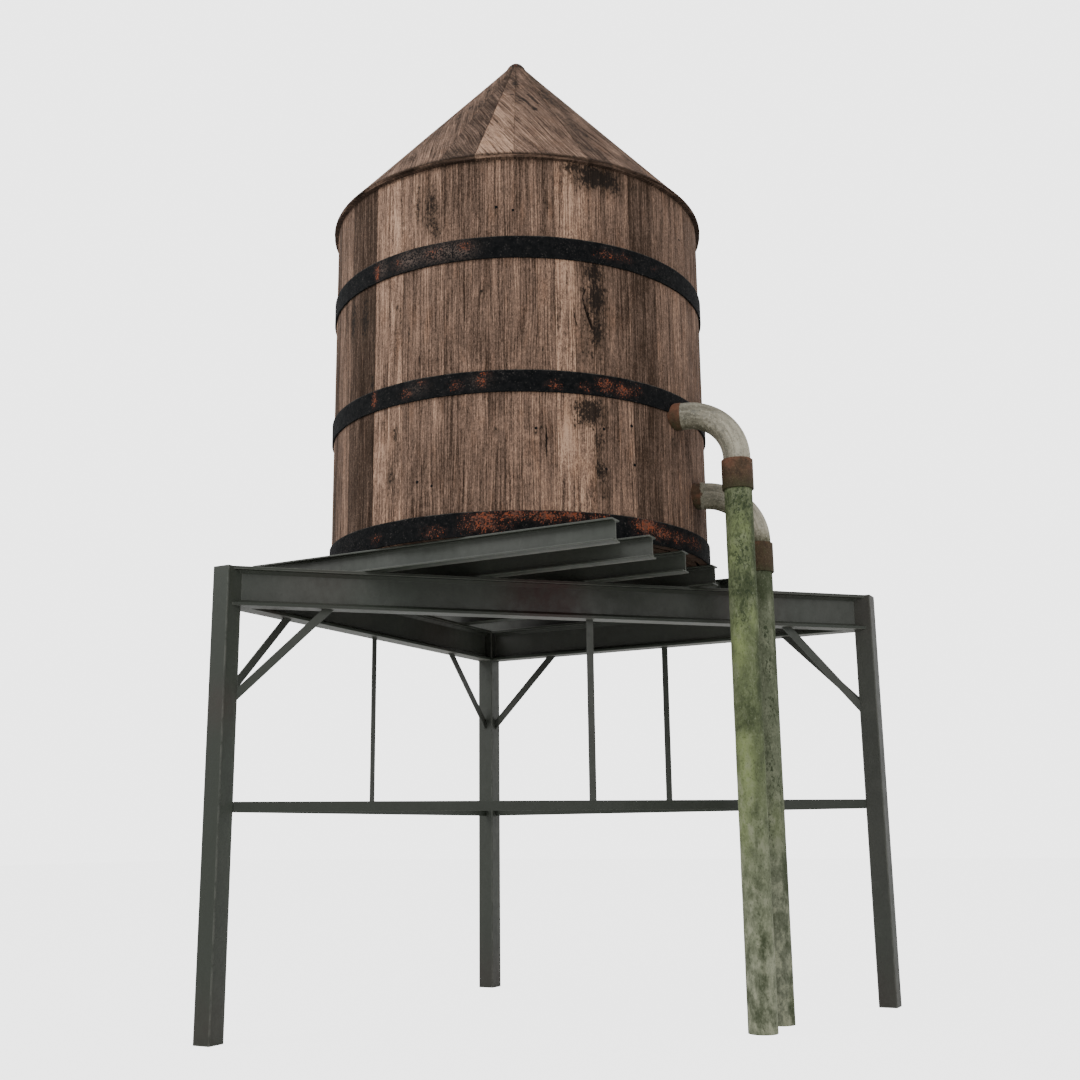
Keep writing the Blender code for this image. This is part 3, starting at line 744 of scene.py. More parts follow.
def wall(number):
    """Staves side by side. Each is a stack of level rings: its face, sunk at both edges, then its back."""
    joints, tones = stave_plan(number)
    rows, across = SEEN_GRID if number in SEEN_STAVES else PLAIN_GRID
    low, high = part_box(f"wall_{number}")
    start, end = np.radians([joints[:-1], joints[1:]])[..., None, None]
    start = start + JOINT_GAP / 2 / WALL_RADIUS
    width = (end - JOINT_GAP / 2 / WALL_RADIUS - start) * WALL_RADIUS
    face, sunk = board_face(width, STAVE_EDGE, STAVE_EDGE_SUNK, across)
    arc = np.concatenate([face, width * [1.0, 0.5, 0.0]], axis=-1)
    angle = start + arc / WALL_RADIUS
    height = np.linspace(low.z, high.z, rows)[:, None]
    stave = np.arange(STAVE_COUNT)[:, None, None]
    split = split_depth(angle, height)
    relief = 0.0008 + 0.0008 * waves(arc + stave, height, 3, 0.05, 0.9)
    lean = 0.0008 + 0.0008 * np.sin(stave * 2.4 + number)
    depth = np.append(sunk, [0, 0, 0]) + relief + lean + split
    depth[..., -3:] = WALL_THICK
    tone = [np.interp(height[:, 0], STAVE_LEVELS, bays) for bays in np.repeat(tones, 2, axis=0).T]
    tone = np.array(tone)[..., None] + 0.10 * waves(arc + stave * 3, height, 11, 0.10, 0.8)
    edges = np.concatenate([[1, 0.5, 0, 0], np.zeros(across), [0, 0, 0.5, 1], [1, 1, 1]])
    under_nails = [(degrees, level - NAIL_STREAK[1], *NAIL_STREAK) for degrees, level in WALL_NAILS]
    # Painted shade just below the top of the wall, under the eave
    seat = 0.3 * np.exp(-(((height - high.z) / 0.03) ** 2))
    foot = np.exp(-(((height - low.z) / 0.02) ** 2))
    stain_and_shade = strongest(ovals(angle, height, WALL_STAINS + under_nails), np.clip(split / 0.006, 0, 1), seat)
    masks = {"tone": tone, "stain_and_shade": stain_and_shade, "joint_and_shade": strongest(edges, foot)}
    sheet = together(arc + stave * 1.37 + number * 5.1, height + stave * 2.71 + number)
    rings = round_tank(WALL_RADIUS - depth, angle, height)
    mount(skin(f"staves_{number}", rings, masks, sheet), stave_wood, "stave_wood", f"wall_{number}")


grain = grain_group()
stave_wood = timber("stave_wood", 0.004, 0.80)
for number in range(1, 7):
    wall(number)


# Tank floor
# Planks laid across the joists inside the foot of the wall, sawn to a circle. Only their undersides show,
# between the joists, and painted shade makes them dark there.

PLANK_WIDTH = 0.150
PLANK_EDGE = 0.002
PLANK_GAP = 0.002


def floor_planks():
    """Strips along Y. Every point of a plank's section ends where it meets the wall's inner circle."""
    low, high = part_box("tank_floor")
    reach = WALL_RADIUS - WALL_THICK - SEAM
    count = math.ceil(2 * reach / PLANK_WIDTH)
    wide = 2 * reach / count
    outline, edge = oblong((wide - PLANK_GAP) / 2, (high.z - low.z) / 2, PLANK_EDGE, PLANK_EDGE, 2)
    outline, edge = outline[::-1], edge[::-1]
    dice = np.random.default_rng(9)
    middle = wide * (np.arange(count) + 0.5)[:, None, None] - reach
    x = np.clip(middle + outline[:, 0], PLANK_EDGE - reach, reach - PLANK_EDGE)
    y = TANK_Y + np.sqrt(reach**2 - x**2) * np.linspace(-1, 1, 12)[:, None]
    z = (low.z + high.z) / 2 + outline[:, 1]
    # Painted shade: a very low tone here and an even stain in the masks
    tone = 0.06 + dice.normal(0, 0.06, (count, 1, 1))
    slide = dice.uniform(0, 9, (count, 1, 1, 2))
    masks = {"tone": tone, "stain_and_shade": 0.3, "joint_and_shade": edge}
    rings, sheet = together(TANK_X + x, y, z), together(TANK_X + x + z, y) + slide
    mount(skin("floor_planks", rings, masks, sheet), stave_wood, "stave_wood", "tank_floor")


floor_planks()


# Hoops
# Three flat iron hoops, tarred black and pitted, each closed at a butt joint over the same stave. Rust
# breaks through in patches, and in others the tar has worn down to pale dull iron.

HOOP_THICK = 0.0155
HOOP_EDGE = 0.003
HOOP_EDGE_FADE = 0.004
HOOP_STEP = 0.016
HOOP_RINGS = 500
HOOP_JOINT = math.radians(-106.2)
HOOP_JOINT_GAP = 0.0012
HOOP_WAVER = 0.0018
# Each rust patch and each worn patch: degrees round the tank, height, half width, half height, strength
HOOP_RUST = [
    (-105.3, 5.79, 0.04, 0.08, 0.85), (-84.5, 5.8, 0.1, 0.07, 0.45), (-75.5, 5.82, 0.07, 0.05, 0.7),
    (-97, 5.8, 0.08, 0.08, 0.35), (-35.5, 5.79, 0.13, 0.05, 0.5), (-29, 5.8, 0.1, 0.05, 0.45),
    (-18, 5.8, 0.08, 0.05, 0.25), (60, 5.8, 0.3, 0.06, 0.6), (150, 5.8, 0.22, 0.06, 0.6),
    (-105.6, 4.72, 0.03, 0.08, 0.95), (-93.5, 4.7, 0.06, 0.05, 0.6), (-88.5, 4.76, 0.06, 0.03, 0.55),
    (-69.5, 4.77, 0.06, 0.03, 0.6), (-70.8, 4.71, 0.05, 0.05, 0.7), (-51, 4.68, 0.07, 0.05, 0.6),
    (-78, 4.7, 0.07, 0.05, 0.5), (-42.5, 4.68, 0.06, 0.05, 0.55), (-36, 4.72, 0.1, 0.06, 0.85),
    (-30.5, 4.7, 0.1, 0.06, 0.9), (-26, 4.72, 0.06, 0.06, 0.5), (-160, 4.7, 0.3, 0.06, 0.7),
    (80, 4.7, 0.25, 0.06, 0.6), (-104, 3.6, 0.08, 0.06, 0.45), (-84, 3.58, 0.12, 0.06, 0.55),
    (-70.5, 3.66, 0.16, 0.05, 0.95), (-70, 3.6, 0.2, 0.06, 0.85), (-62, 3.68, 0.14, 0.05, 0.95),
    (-54, 3.67, 0.16, 0.06, 0.95), (-47, 3.68, 0.14, 0.05, 0.95), (-39, 3.68, 0.1, 0.04, 0.7),
    (-24, 3.66, 0.13, 0.07, 1.15), (-18, 3.62, 0.12, 0.06, 0.85), (-11, 3.62, 0.12, 0.06, 0.7),
    (-2, 3.62, 0.2, 0.06, 0.6), (120, 3.62, 0.35, 0.06, 0.8), (-150, 3.62, 0.25, 0.06, 0.7),
]
HOOP_BARE = [
    (-103, 5.8, 0.06, 0.07, 0.55), (-93, 5.8, 0.14, 0.07, 0.65), (-83, 5.8, 0.18, 0.07, 0.75),
    (-76.5, 5.8, 0.1, 0.07, 0.7), (-90, 4.72, 0.1, 0.05, 0.3), (-71, 4.72, 0.08, 0.05, 0.3),
]


def black_iron():
    made, tree, spot = new_material("black_iron")
    rust = mask(tree, "rust")
    lumps = cloud(spot, 22.0, 5.0, 0.65)
    pits = cloud(spot, 78.0, 4.0, 0.62)
    dust = between(cloud(spot, 74.0, 3.0, 0.6), 0.59, 0.66)
    patchy = between(cloud(spot, 9.0, 3.0), 0.40, 0.66, 0.08, 0.65)
    spread = frayed(rust, lumps, 0.25)
    broken = plus(spread, between(pits, 0.35, 0.65, -0.64, 0.64))
    hue = between(cloud(spot, 40.0, 3.0), 0.44, 0.64)
    flake_colour = tint(hue, (0.108, 0.050, 0.036), (0.232, 0.056, 0.023))
    colour = coats(
        tint(between(lumps, 0.35, 0.68), (0.0020, 0.0026, 0.0030), (0.0078, 0.0081, 0.0086)),
        (times(mask(tree, "bare"), between(pits, 0.45, 0.56)), (0.145, 0.106, 0.088)),
        (times(dust, patchy), (0.080, 0.070, 0.064)),
        (between(spread, 0.15, 0.9, 0.0, 0.6), (0.034, 0.017, 0.013)),
        (times(between(broken, 0.76, 0.83), between(rust, 0.10, 0.35)), flake_colour),
        (times(mask(tree, "wear_and_highlight"), between(lumps, 0.40, 0.62, 0.10, 0.8)), (0.085, 0.078, 0.070)),
    )
    height = plus(times(lumps, 0.7), times(pits, 0.5))
    shade(colour, between(pits, 0.3, 0.7, 0.60, 0.92), height, 0.008, 0.06)
    return made


def divided(outline, wear_and_highlight, step):
    """More points on the straight parts of a closed outline, so that none are further apart than a step."""
    closed = np.vstack([outline, outline[:1]])
    length = np.concatenate([[0], np.cumsum(np.linalg.norm(np.diff(closed, axis=0), axis=1))])
    extra = np.arange(0, length[-1], step)
    near = np.min(np.abs(extra[:, None] - length), axis=1) < step * 0.3
    wanted = np.unique(np.concatenate([length[:-1], extra[~near]]))
    x, y, wear_and_highlight = (np.interp(wanted, length, values) for values in (*closed.T, np.append(wear_and_highlight, wear_and_highlight[0])))
    return x, y, wear_and_highlight


def hoop(name):
    """A flat bar bent round the tank. Its face is dented by slow waves and its two edges waver a little."""
    low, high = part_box(name)
    thick, tall = HOOP_THICK / 2, (high.z - low.z) / 2 - HOOP_WAVER
    inward, rise, edge = divided(*oblong(thick, tall, HOOP_EDGE, HOOP_EDGE_FADE), HOOP_STEP)
    gap = HOOP_JOINT_GAP / 2
    turn = np.linspace(gap, 2 * np.pi - gap, HOOP_RINGS)[:, None] + HOOP_JOINT
    run = turn * WALL_RADIUS
    sway = HOOP_WAVER * waves(run, rise / tall * 0.05, 21, 0.5, 0.4)
    sway = sway + 0.0007 * waves(run, rise / tall * 0.05, 22, 0.08, 0.3)
    z = (high.z + low.z) / 2 + rise + np.clip(sway, -HOOP_WAVER, HOOP_WAVER) * np.sign(rise)
    dent = 0.0011 + 0.0011 * waves(run, rise, 23, 0.09, 0.12)
    radius = WALL_RADIUS + SEAM + thick - inward - np.where(inward < 0, dent, 0.0)
    masks = {"rust": ovals(turn, z, HOOP_RUST), "wear_and_highlight": edge * (rise > 0), "bare": ovals(turn, z, HOOP_BARE)}
    mount(skin(name + "_band", round_tank(radius, turn, z), masks), iron, "black_iron", name)


iron = black_iron()
for hoop_name in ("hoop_upper", "hoop_middle", "hoop_base"):
    hoop(hoop_name)


# Nails
# A few iron nails hold loose staves. Their domed heads sit just proud of the wood, under the same black
# coat as the hoops.

NAIL_RADIUS = 0.013
NAIL_RISE = 0.0035
NAIL_SUNK = 0.0025
NAIL_ROOT = 0.006


def turns(sides):
    """Equal steps of one full turn."""
    return np.linspace(0, 2 * np.pi, sides + 1)[:-1]


def nails():
    """Heads as stacks of circles, from the root in the wood to near the pole, each facing outwards."""
    dome = np.linspace(0, np.pi / 2 * 0.92, 4)
    spread = NAIL_RADIUS * np.append(0.9, np.cos(dome))[:, None]
    out = WALL_RADIUS - NAIL_SUNK + np.append(-NAIL_ROOT, NAIL_RISE * np.sin(dome))[:, None]
    degrees, level = np.array(WALL_NAILS).T[..., None, None]
    angle, spin = np.radians(degrees), turns(12)
    side = spread * np.cos(spin)
    x = TANK_X + out * np.cos(angle) - side * np.sin(angle)
    y = TANK_Y + out * np.sin(angle) + side * np.cos(angle)
    rings = together(x, y, level + spread * np.sin(spin))
    mount(skin("nail_heads", rings, {"rust": 0.1, "wear_and_highlight": 0.0}), iron, "black_iron")


nails()


# Cap
# A small button of cast iron that covers the point of the roof, its stub let into the hole there. Rust
# and worn metal show through its black coat.

ROOF_APEX = 8.405
ROOF_FALL = 1.12538
CAP_DOME = 0.0575


def roof_cap():
    """Circles that follow the half section from the stub to the crown, dented by slow waves."""
    low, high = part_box("roof_cap")
    rim = (high.x - low.x) / 2
    dome = rim * np.sin(np.linspace(np.pi / 2, 0.05, 10))
    radius = np.concatenate([[0.010, 0.0490, 0.0495, rim - 0.002], dome])[:, None]
    height = ROOF_APEX + 0.0006 - ROOF_FALL * radius
    height[:2] = low.z + 0.001
    height[4:] = high.z - CAP_DOME * (radius[4:] / rim) ** 2.3
    spin = turns(48)
    dent = 1 - 0.006 * (1 + waves(spin, height, 31, 2.1, 0.2))
    rings = round_tank(radius * dent, spin, height)
    mount(skin("cap_button", rings, {"rust": 0.55, "wear_and_highlight": 0.45}), iron, "black_iron", "roof_cap")


roof_cap()


# Roof
# Tapered boards run from the eave to the cap, butted edge to edge, each cut from a plank whose grain
# lies at its own slant. Their lower ends are dark with wet and drop a lip over the head of the wall;
# painted shade darkens the boards' undersides, seen under the eave.

ROOF_PITCH = math.atan(ROOF_FALL)
ROOF_HOLE = 0.050
ROOF_THICK = 0.045
ROOF_JOINT_GAP = 0.0010
ROOF_BOARD_COLUMNS = 25
ROOF_BOARD_ROWS = 96
UNROLLED = 0.66
EAVE_RADIUS = 1.627
EAVE_TOP = 6.574
EAVE_BOTTOM = 6.539
EAVE_STEPS = np.array([0.0010, 0.0, 0.0035, 0.0120, 0.0300, 0.0620])
EAVE_DARK = (0.80, 0.95, 0.90, 0.45, 0.08)
BOARD_EDGE = np.array([0.0, 0.0008, 0.0030, 0.0070])
BOARD_EDGE_SUNK = np.array([0.0018, 0.0009, 0.0003, 0.0])
# Each board: degrees at its right-hand joint, its tone at the point and at the eave, and the slant of its
# grain in degrees
ROOF_BOARDS = [
    (-180, 0.5, 0.5, 0), (-163, 0.35, 0.35, 24), (-146, 0.6, 0.6, -14), (-128, 0.46, 0.46, 12),
    (-106, 0.5, 0.5, -30), (-83, 0.47, 0.47, 21), (-72.5, 0.14, 0.26, 26), (-61.6, 0.36, 1.02, 21),
    (-40.4, 0.4, 0.62, 14), (-33, 0.62, 0.28, 4), (-13, 0.38, 0.48, 8), (6, 0.55, 0.55, 28),
    (24, 0.25, 0.25, -18), (47, 0.6, 0.6, 36), (63, 0.8, 0.8, -30), (82, 0.45, 0.45, 8),
    (101, 0.52, 0.52, 20), (118, 0.15, 0.15, -10), (140, 0.58, 0.58, 30), (162, 0.48, 0.48, -22),
    (180, 0.55, 0.55, 16),
]
# Each stain: degrees round the roof, distance down the slope from the point, half width, half length,
# strength
ROOF_STAINS = [
    (-50.6, 1.33, 0.026, 0.05, 1.1), (-58, 1.12, 0.1, 0.14, 0.4), (-62, 0.64, 0.04, 0.13, 0.75),
    (-33, 0.78, 0.05, 0.13, 0.65), (-83, 1.44, 0.022, 0.05, 0.75), (-92.6, 1.49, 0.02, 0.04, 0.75),
    (-32.9, 1.82, 0.05, 0.12, 0.65), (-36.3, 2.18, 0.06, 0.09, 0.55), (-37, 0.9, 0.025, 0.06, 0.8),
    (-64.5, 0.68, 0.02, 0.13, 0.45), (-92.8, 1.12, 0.018, 0.05, 0.8), (-97.6, 1.23, 0.018, 0.05, 0.8),
    (-94.8, 1.35, 0.018, 0.04, 0.8), (-64, 0.46, 0.04, 0.12, 0.5), (-72, 0.4, 0.05, 0.2, 0.45),
    (-86, 1.1, 0.05, 0.3, 0.55), (-90, 0.7, 0.05, 0.2, 0.45), (-36, 1, 0.06, 0.25, 0.6),
    (-36, 1.6, 0.05, 0.3, 0.5), (-30, 0.5, 0.1, 0.15, 0.5), (-79, 2.3, 0.1, 0.12, 0.5),
    (-20, 2.1, 0.04, 0.06, 0.6), (30, 1.4, 0.1, 0.35, 0.7), (120, 1.9, 0.12, 0.3, 0.7),
    (-150, 1.2, 0.1, 0.3, 0.6),
]
# Each crack: degrees and distance down the slope of the points it runs through
ROOF_CRACKS = [
    [(-66.2, 0.955), (-60.6, 0.987), (-57.1, 1.056), (-54.1, 1.15), (-52.1, 1.269), (-50.4, 1.344)],
    [(-51.6, 0.945), (-49.6, 1.01), (-48.2, 1.1), (-47, 1.176)],
]
CRACK_WIDTH = 0.014


def roof_cracks(angle, down):
    """1 along each crack, falling to 0 at its half width. Distances are taken on the unrolled roof."""
    near = []
    for crack in ROOF_CRACKS:
        for (degrees_a, down_a), (degrees_b, down_b) in zip(crack[:-1], crack[1:]):
            along_x = math.radians(degrees_b - degrees_a) * (down_a + down_b) / 2 * UNROLLED
            along_y = down_b - down_a
            x = (angle - math.radians(degrees_a)) * down * UNROLLED
            y = down - down_a
            share = np.clip((x * along_x + y * along_y) / (along_x**2 + along_y**2), 0, 1)
            away = np.hypot(x - share * along_x, y - share * along_y)
            near.append(np.clip(1 - away / CRACK_WIDTH, 0, 1))
    return strongest(*near)


def roof():
    """Each board is a stack of rings from its eave end to the cap.

    A ring runs along the outer cone between the board's two joints and back along the inner cone. The
    first two rings follow the upright lip and the seat on the wall. On the sheet the cone is unrolled:
    a point lies down the slope from the apex, turned by its angle times the cosine of the slope.
    """
    fall, level = math.sin(ROOF_PITCH), math.cos(ROOF_PITCH)
    joints = np.radians([board[0] for board in ROOF_BOARDS])[:, None, None]
    at_point, at_eave, slants = np.array(ROOF_BOARDS)[1:, 1:].T[..., None, None]
    slants = np.radians(slants)
    across = ROOF_BOARD_COLUMNS

    hole, seat = ROOF_HOLE + 0.002, WALL_RADIUS - WALL_THICK
    slope = np.linspace(1, 0, ROOF_BOARD_ROWS)
    outer_r = np.append(EAVE_RADIUS - EAVE_STEPS, hole + (seat - hole) * slope)[:, None]
    outer_z = ROOF_APEX - outer_r * ROOF_FALL
    inner_r, inner_z = outer_r.copy(), outer_z - ROOF_THICK / level
    outer_z[:2, 0] = EAVE_TOP - 0.006, EAVE_TOP - 0.005
    inner_r[:2, 0] = EAVE_RADIUS - 0.004, EAVE_RADIUS - 0.001
    inner_z[:7] = EAVE_BOTTOM
    inner_z[:3, 0] += 0.0005, 0.002, 0.0005

    start = joints[:-1] + ROOF_JOINT_GAP / 2 / outer_r
    end = joints[1:] - ROOF_JOINT_GAP / 2 / outer_r
    width = (end - start) * outer_r
    slim = np.minimum(1.0, width / 0.03)
    face, sunk = board_face(width, BOARD_EDGE * slim, BOARD_EDGE_SUNK, across)
    angle_out, angle_in = start + face / outer_r, end + (start - end) * np.linspace(0, 1, 5)
    board = np.arange(len(slants))[:, None, None]
    down = outer_r / level
    relief = 0.0012 * (1 + waves(angle_out * 1.3 + board, down, 51, 0.12, 0.6))
    lean = 0.0016 * (1 + np.sin(board * 2.1))
    fade = np.clip((outer_r - ROOF_HOLE) / 0.2, 0, 1) * np.clip((EAVE_RADIUS - outer_r) / 0.1, 0.15, 1)
    sink = sunk * slim + (relief + lean) * fade
    radius = np.concatenate([outer_r - sink * fall, inner_r + 0 * angle_in], axis=2)
    height = np.concatenate([outer_z - sink * level, inner_z + 0 * angle_in], axis=2)
    angle = np.concatenate([angle_out, angle_in], axis=2)

    turn = (angle - (joints[:-1] + joints[1:]) / 2) * level
    far = radius / level
    flat_x, flat_y = far * np.sin(turn), far * np.cos(turn) + (outer_z - height) * 0.9
    sheet_x = flat_x * np.cos(slants) - flat_y * np.sin(slants) + board * 3.7
    sheet_y = flat_x * np.sin(slants) + flat_y * np.cos(slants) + board * 1.9
    sheet_x[:, 0] = height[:, 0] * 1.5
    sheet_y[:, 0] = angle[:, 0] * radius[:, 0] * 1.5

    lip = 0 * outer_r
    lip[:5, 0] = EAVE_DARK
    # Painted shade: the boards' undersides, seen under the eave, darkened fully; the lip's foot less
    joint_and_shade = np.concatenate([[0.4, 0.3, 0.1, 0], np.zeros(across), [0, 0.1, 0.3, 0.4], np.ones(5)])
    joint_and_shade = np.maximum(joint_and_shade * np.clip(slim, 0.4, 1), lip)
    joint_and_shade[:, 0, -5:] = 0.20
    tone = at_point + (at_eave - at_point) * np.clip((far - 0.3) / 1.8, 0, 1)
    tone = tone + 0.10 * waves(angle * 1.2 + board * 5, far, 52, 0.3, 0.7)
    wet = 0.22 * np.exp(-(((far - down.max()) / 0.04) ** 2))
    point = 0.55 * np.exp(-((far / 0.17) ** 2))
    stained = ovals(angle, far, ROOF_STAINS, far * UNROLLED)
    stain_and_shade = strongest(stained, 1.5 * roof_cracks(angle, far), wet, point)
    boards = skin(
        "roof_boards",
        round_tank(radius, angle, height),
        {"tone": tone, "stain_and_shade": stain_and_shade, "joint_and_shade": joint_and_shade},
        together(sheet_x, sheet_y),
    )
    mount(boards, roof_wood, "roof_wood", "roof")


roof_wood = timber("roof_wood", 0.005, 1.0, 0.85)
roof()


# Riser pipes
# Two old pipes stand on the ground under the open side. A rust-brown coupling joins each to a quarter
# bend, and a collar shaped to the wall closes its inlet. Moss covers the risers, and lichen the bends.

PIPE_RADIUS = 0.108
PIPE_SIDES = 56
PIPE_EDGE = 0.002
RISER_STEP = 0.035
BEND_RADIUS = 0.385
COUPLING_RADIUS = 0.1226
COUPLING_EDGE = 0.0026
COLLAR_LENGTH = 0.058
COLLAR_RADII = np.array([0.1090, 0.1102, 0.1104, 0.1102, 0.1104, 0.1102, 0.1092])[:, None]
COLLAR_SHARES = np.array([0, 0.08, 0.3, 0.5, 0.7, 0.94, 1])[:, None]
UPRIGHT = np.array([0.0, 0.0, 1.0])
SEEN_LEFT = np.array([-0.88, -0.47, 0.0])
# Where each bend's middle line would meet the tank
INLETS = {"upper": np.array([1.09425, 0.0135, 4.610]), "lower": np.array([1.11425, 0.3555, 4.036])}
# Each patch on a riser: place across it as seen from the front from 1 on the left to -1 on the right,
# height, half width, half height, strength
# The dark patches are partly dark moss and partly painted shade, down the right side and under the coupling
MOSS_AND_SHADE = {
    "upper": {
        "dark": [
            (0, 3.87, 1.6, 0.11, 0.7), (-0.85, 3.45, 0.3, 0.6, 0.9), (-0.1, 3.18, 0.8, 0.16, 1),
            (-0.85, 2.5, 0.3, 0.45, 1), (0.1, 2.21, 0.9, 0.14, 0.85), (0.05, 1.53, 0.25, 0.08, 0.7),
            (0, 1.31, 0.16, 0.06, 0.9), (0.1, 0.96, 0.25, 0.12, 0.8), (-0.1, 0.6, 0.2, 0.16, 1),
            (-0.1, 0.38, 0.22, 0.14, 1), (0.3, 0.12, 1.2, 0.18, 0.55),
        ],
        "lime": [
            (0.1, 3.66, 0.9, 0.1, 0.5), (0.7, 3.45, 0.4, 0.12, 0.6), (-0.5, 2.97, 0.4, 0.1, 0.6),
            (0.6, 2.75, 0.5, 0.18, 1.1), (0.6, 2.02, 0.6, 0.1, 1), (0.5, 1.85, 0.6, 0.3, 0.85),
            (0.8, 1.45, 0.4, 0.2, 0.6),
        ],
        "fleck": [
            (0, 3.85, 2, 0.22, 0.9), (0, 3.45, 1.2, 0.22, 0.9), (0, 3.18, 1, 0.18, 1),
            (0.3, 2.95, 0.6, 0.12, 0.8), (0, 2.3, 0.8, 0.3, 0.3),
        ],
    },
    "lower": {
        "dark": [
            (0, 3.3, 2, 0.16, 1.1), (-0.95, 2.8, 0.3, 0.5, 1), (-0.75, 1.1, 0.35, 0.2, 0.9),
            (0.35, 0.8, 0.12, 0.07, 0.9), (-0.6, 0.66, 0.25, 0.08, 0.6), (-0.8, 0.2, 0.35, 0.3, 0.8),
        ],
        "lime": [
            (-0.2, 1.45, 0.6, 0.2, 0.35), (-0.9, 0.15, 0.3, 0.1, 0.5),
        ],
        "fleck": [
            (-0.1, 2.88, 0.35, 0.14, 1), (-0.2, 2.62, 0.45, 0.12, 1), (-0.35, 2.32, 0.4, 0.14, 1),
            (0.45, 2.05, 0.3, 0.12, 0.8), (0, 1.84, 0.3, 0.26, 1), (-0.6, 1.7, 0.25, 0.14, 1),
            (0.3, 1.4, 0.35, 0.12, 0.8),
        ],
    },
}


def crusted(colour, lumps, speck, rough, depth):
    """Finishes a pipe with the relief of its lumps and specks, the specks a little smoother."""
    height = plus(times(lumps, 0.6), times(speck, 0.4))
    shade(colour, between(speck, 0.3, 0.7, *rough), height, depth, 0.3)


def mossy_pipe():
    """Grey-green moss over dark pipe, greener high up and paler near the foot, with flecks and lime."""
    made, tree, spot = new_material("mossy_pipe")
    dark = mask(tree, "dark")
    height = place(tree, "SeparateXYZ", {0: spot}).outputs["Z"]
    broad = cloud(spot, (5.0, 5.0, 2.6), 5.0, 0.6)
    soft = cloud(spot, (13.0, 13.0, 8.0), 6.0, 0.70)
    mottle = cloud(spot, (50.0, 50.0, 30.0), 3.0, 0.58, 0.6)
    speck = cloud(spot, (75.0, 75.0, 52.0), 4.0, 0.65)
    low = between(plus(height, between(broad, 0.2, 0.8, -0.45, 0.45)), 0.35, 1.9, 1.0, 0.0)
    shadow = between(frayed(dark, soft, 0.35), 0.15, 0.95, 0.0, 0.85)
    colour = coats(
        tint(low, (0.108, 0.134, 0.058), (0.190, 0.204, 0.138)),
        (times(mask(tree, "grey"), 0.7), (0.128, 0.135, 0.100)),
        (times(mask(tree, "lime"), between(soft, 0.30, 0.55, 0.45, 1.0)), (0.230, 0.280, 0.108)),
        (times(between(soft, 0.47, 0.64), between(low, 0.0, 1.0, 0.55, 0.85)), (0.055, 0.066, 0.034)),
        (times(between(soft, 0.49, 0.36), between(low, 0.0, 1.0, 0.26, 1.0)), (0.290, 0.300, 0.208)),
        # Dark green: dark moss, and painted shade down the right side and under the coupling
        (times(shadow, between(dark, 0.02, 0.25)), (0.034, 0.045, 0.018)),
        (times(between(mottle, 0.52, 0.56), mask(tree, "fleck")), (0.022, 0.034, 0.012)),
        (between(speck, 0.58, 0.72, 0.0, 0.40), (0.280, 0.290, 0.205)),
        (between(speck, 0.43, 0.33, 0.0, 0.60), (0.026, 0.034, 0.015)),
    )
    crusted(colour, soft, speck, (0.95, 0.72), 0.010)
    return made


def lichen_pipe():
    """Grey-beige lichen with darker streaks along the pipe, olive and brown on the damp underside."""
    made, tree, spot = new_material("lichen_pipe")
    streak = cloud(place(tree, "TexCoord").outputs["UV"], (16.0, 2.6), 5.0, 0.65, 0.3)
    mottle = cloud(spot, 22.0, 6.0, 0.66, 0.3)
    speck = cloud(spot, 80.0, 4.0, 0.62)
    colour = coats(
        tint(between(streak, 0.38, 0.62), (0.160, 0.148, 0.112), (0.390, 0.360, 0.280)),
        (between(mottle, 0.52, 0.68, 0.0, 0.75), (0.150, 0.150, 0.130)),
        (between(frayed(mask(tree, "under"), mottle, 0.22), 0.25, 0.95, 0.0, 0.85), (0.060, 0.058, 0.028)),
        (between(speck, 0.56, 0.70, 0.0, 0.6), (0.460, 0.440, 0.360)),
        (between(speck, 0.42, 0.33, 0.0, 0.6), (0.060, 0.055, 0.040)),
    )
    crusted(colour, mottle, speck, (0.95, 0.75), 0.010)
    return made


def rusty_fitting():
    """Brown rust, redder where it flakes, with a dark olive film creeping up from below and a pale crust."""
    made, tree, spot = new_material("rusty_fitting")
    mottle = cloud(spot, (26.0, 26.0, 20.0), 6.0, 0.66, 0.3)
    speck = cloud(spot, 90.0, 4.0, 0.62)
    red = frayed(mask(tree, "red"), cloud(spot, 9.0, 3.0), 0.50)
    film = frayed(mask(tree, "under"), mottle, 0.35)
    crust = mask(tree, "crust")
    crust_colour = tint(between(speck, 0.40, 0.60), (0.130, 0.124, 0.090), (0.250, 0.235, 0.180))
    colour = coats(
        tint(between(mottle, 0.36, 0.64), (0.037, 0.022, 0.011), (0.090, 0.049, 0.026)),
        (between(red, 0.40, 0.95, 0.0, 0.85), (0.165, 0.068, 0.038)),
        (between(film, 0.35, 0.95, 0.0, 0.85), (0.032, 0.031, 0.011)),
        (between(speck, 0.57, 0.70, 0.0, 0.35), (0.170, 0.125, 0.080)),
        (between(speck, 0.42, 0.33, 0.0, 0.5), (0.018, 0.012, 0.008)),
        (times(between(frayed(crust, mottle, 0.45), 0.40, 0.70), between(crust, 0.0, 0.1)), crust_colour),
    )
    crusted(colour, mottle, speck, (0.9, 0.7), 0.008)
    return made


def circle_rings(path, ahead, side, radius, broken, seed, dent):
    """Circles square to a path: point j of ring i is path + radius * (side * cos + (ahead x side) * sin).

    Slow waves dent them inwards, and the first and last are smaller by what their edge is broken.
    """
    turn = turns(PIPE_SIDES)
    run = np.concatenate([[0], np.cumsum(np.linalg.norm(np.diff(path, axis=0), axis=1))])[:, None]
    reach = radius - dent * (1 + waves(turn / (2 * np.pi), run, seed, 0.6, 0.35)) / 2
    reach[[0, -1]] -= broken
    spokes = side * np.cos(turn)[:, None] + np.cross(ahead, side)[..., None, :] * np.sin(turn)[:, None]
    return path[:, None] + reach[..., None] * spokes, spokes, together(turn * PIPE_RADIUS, run)


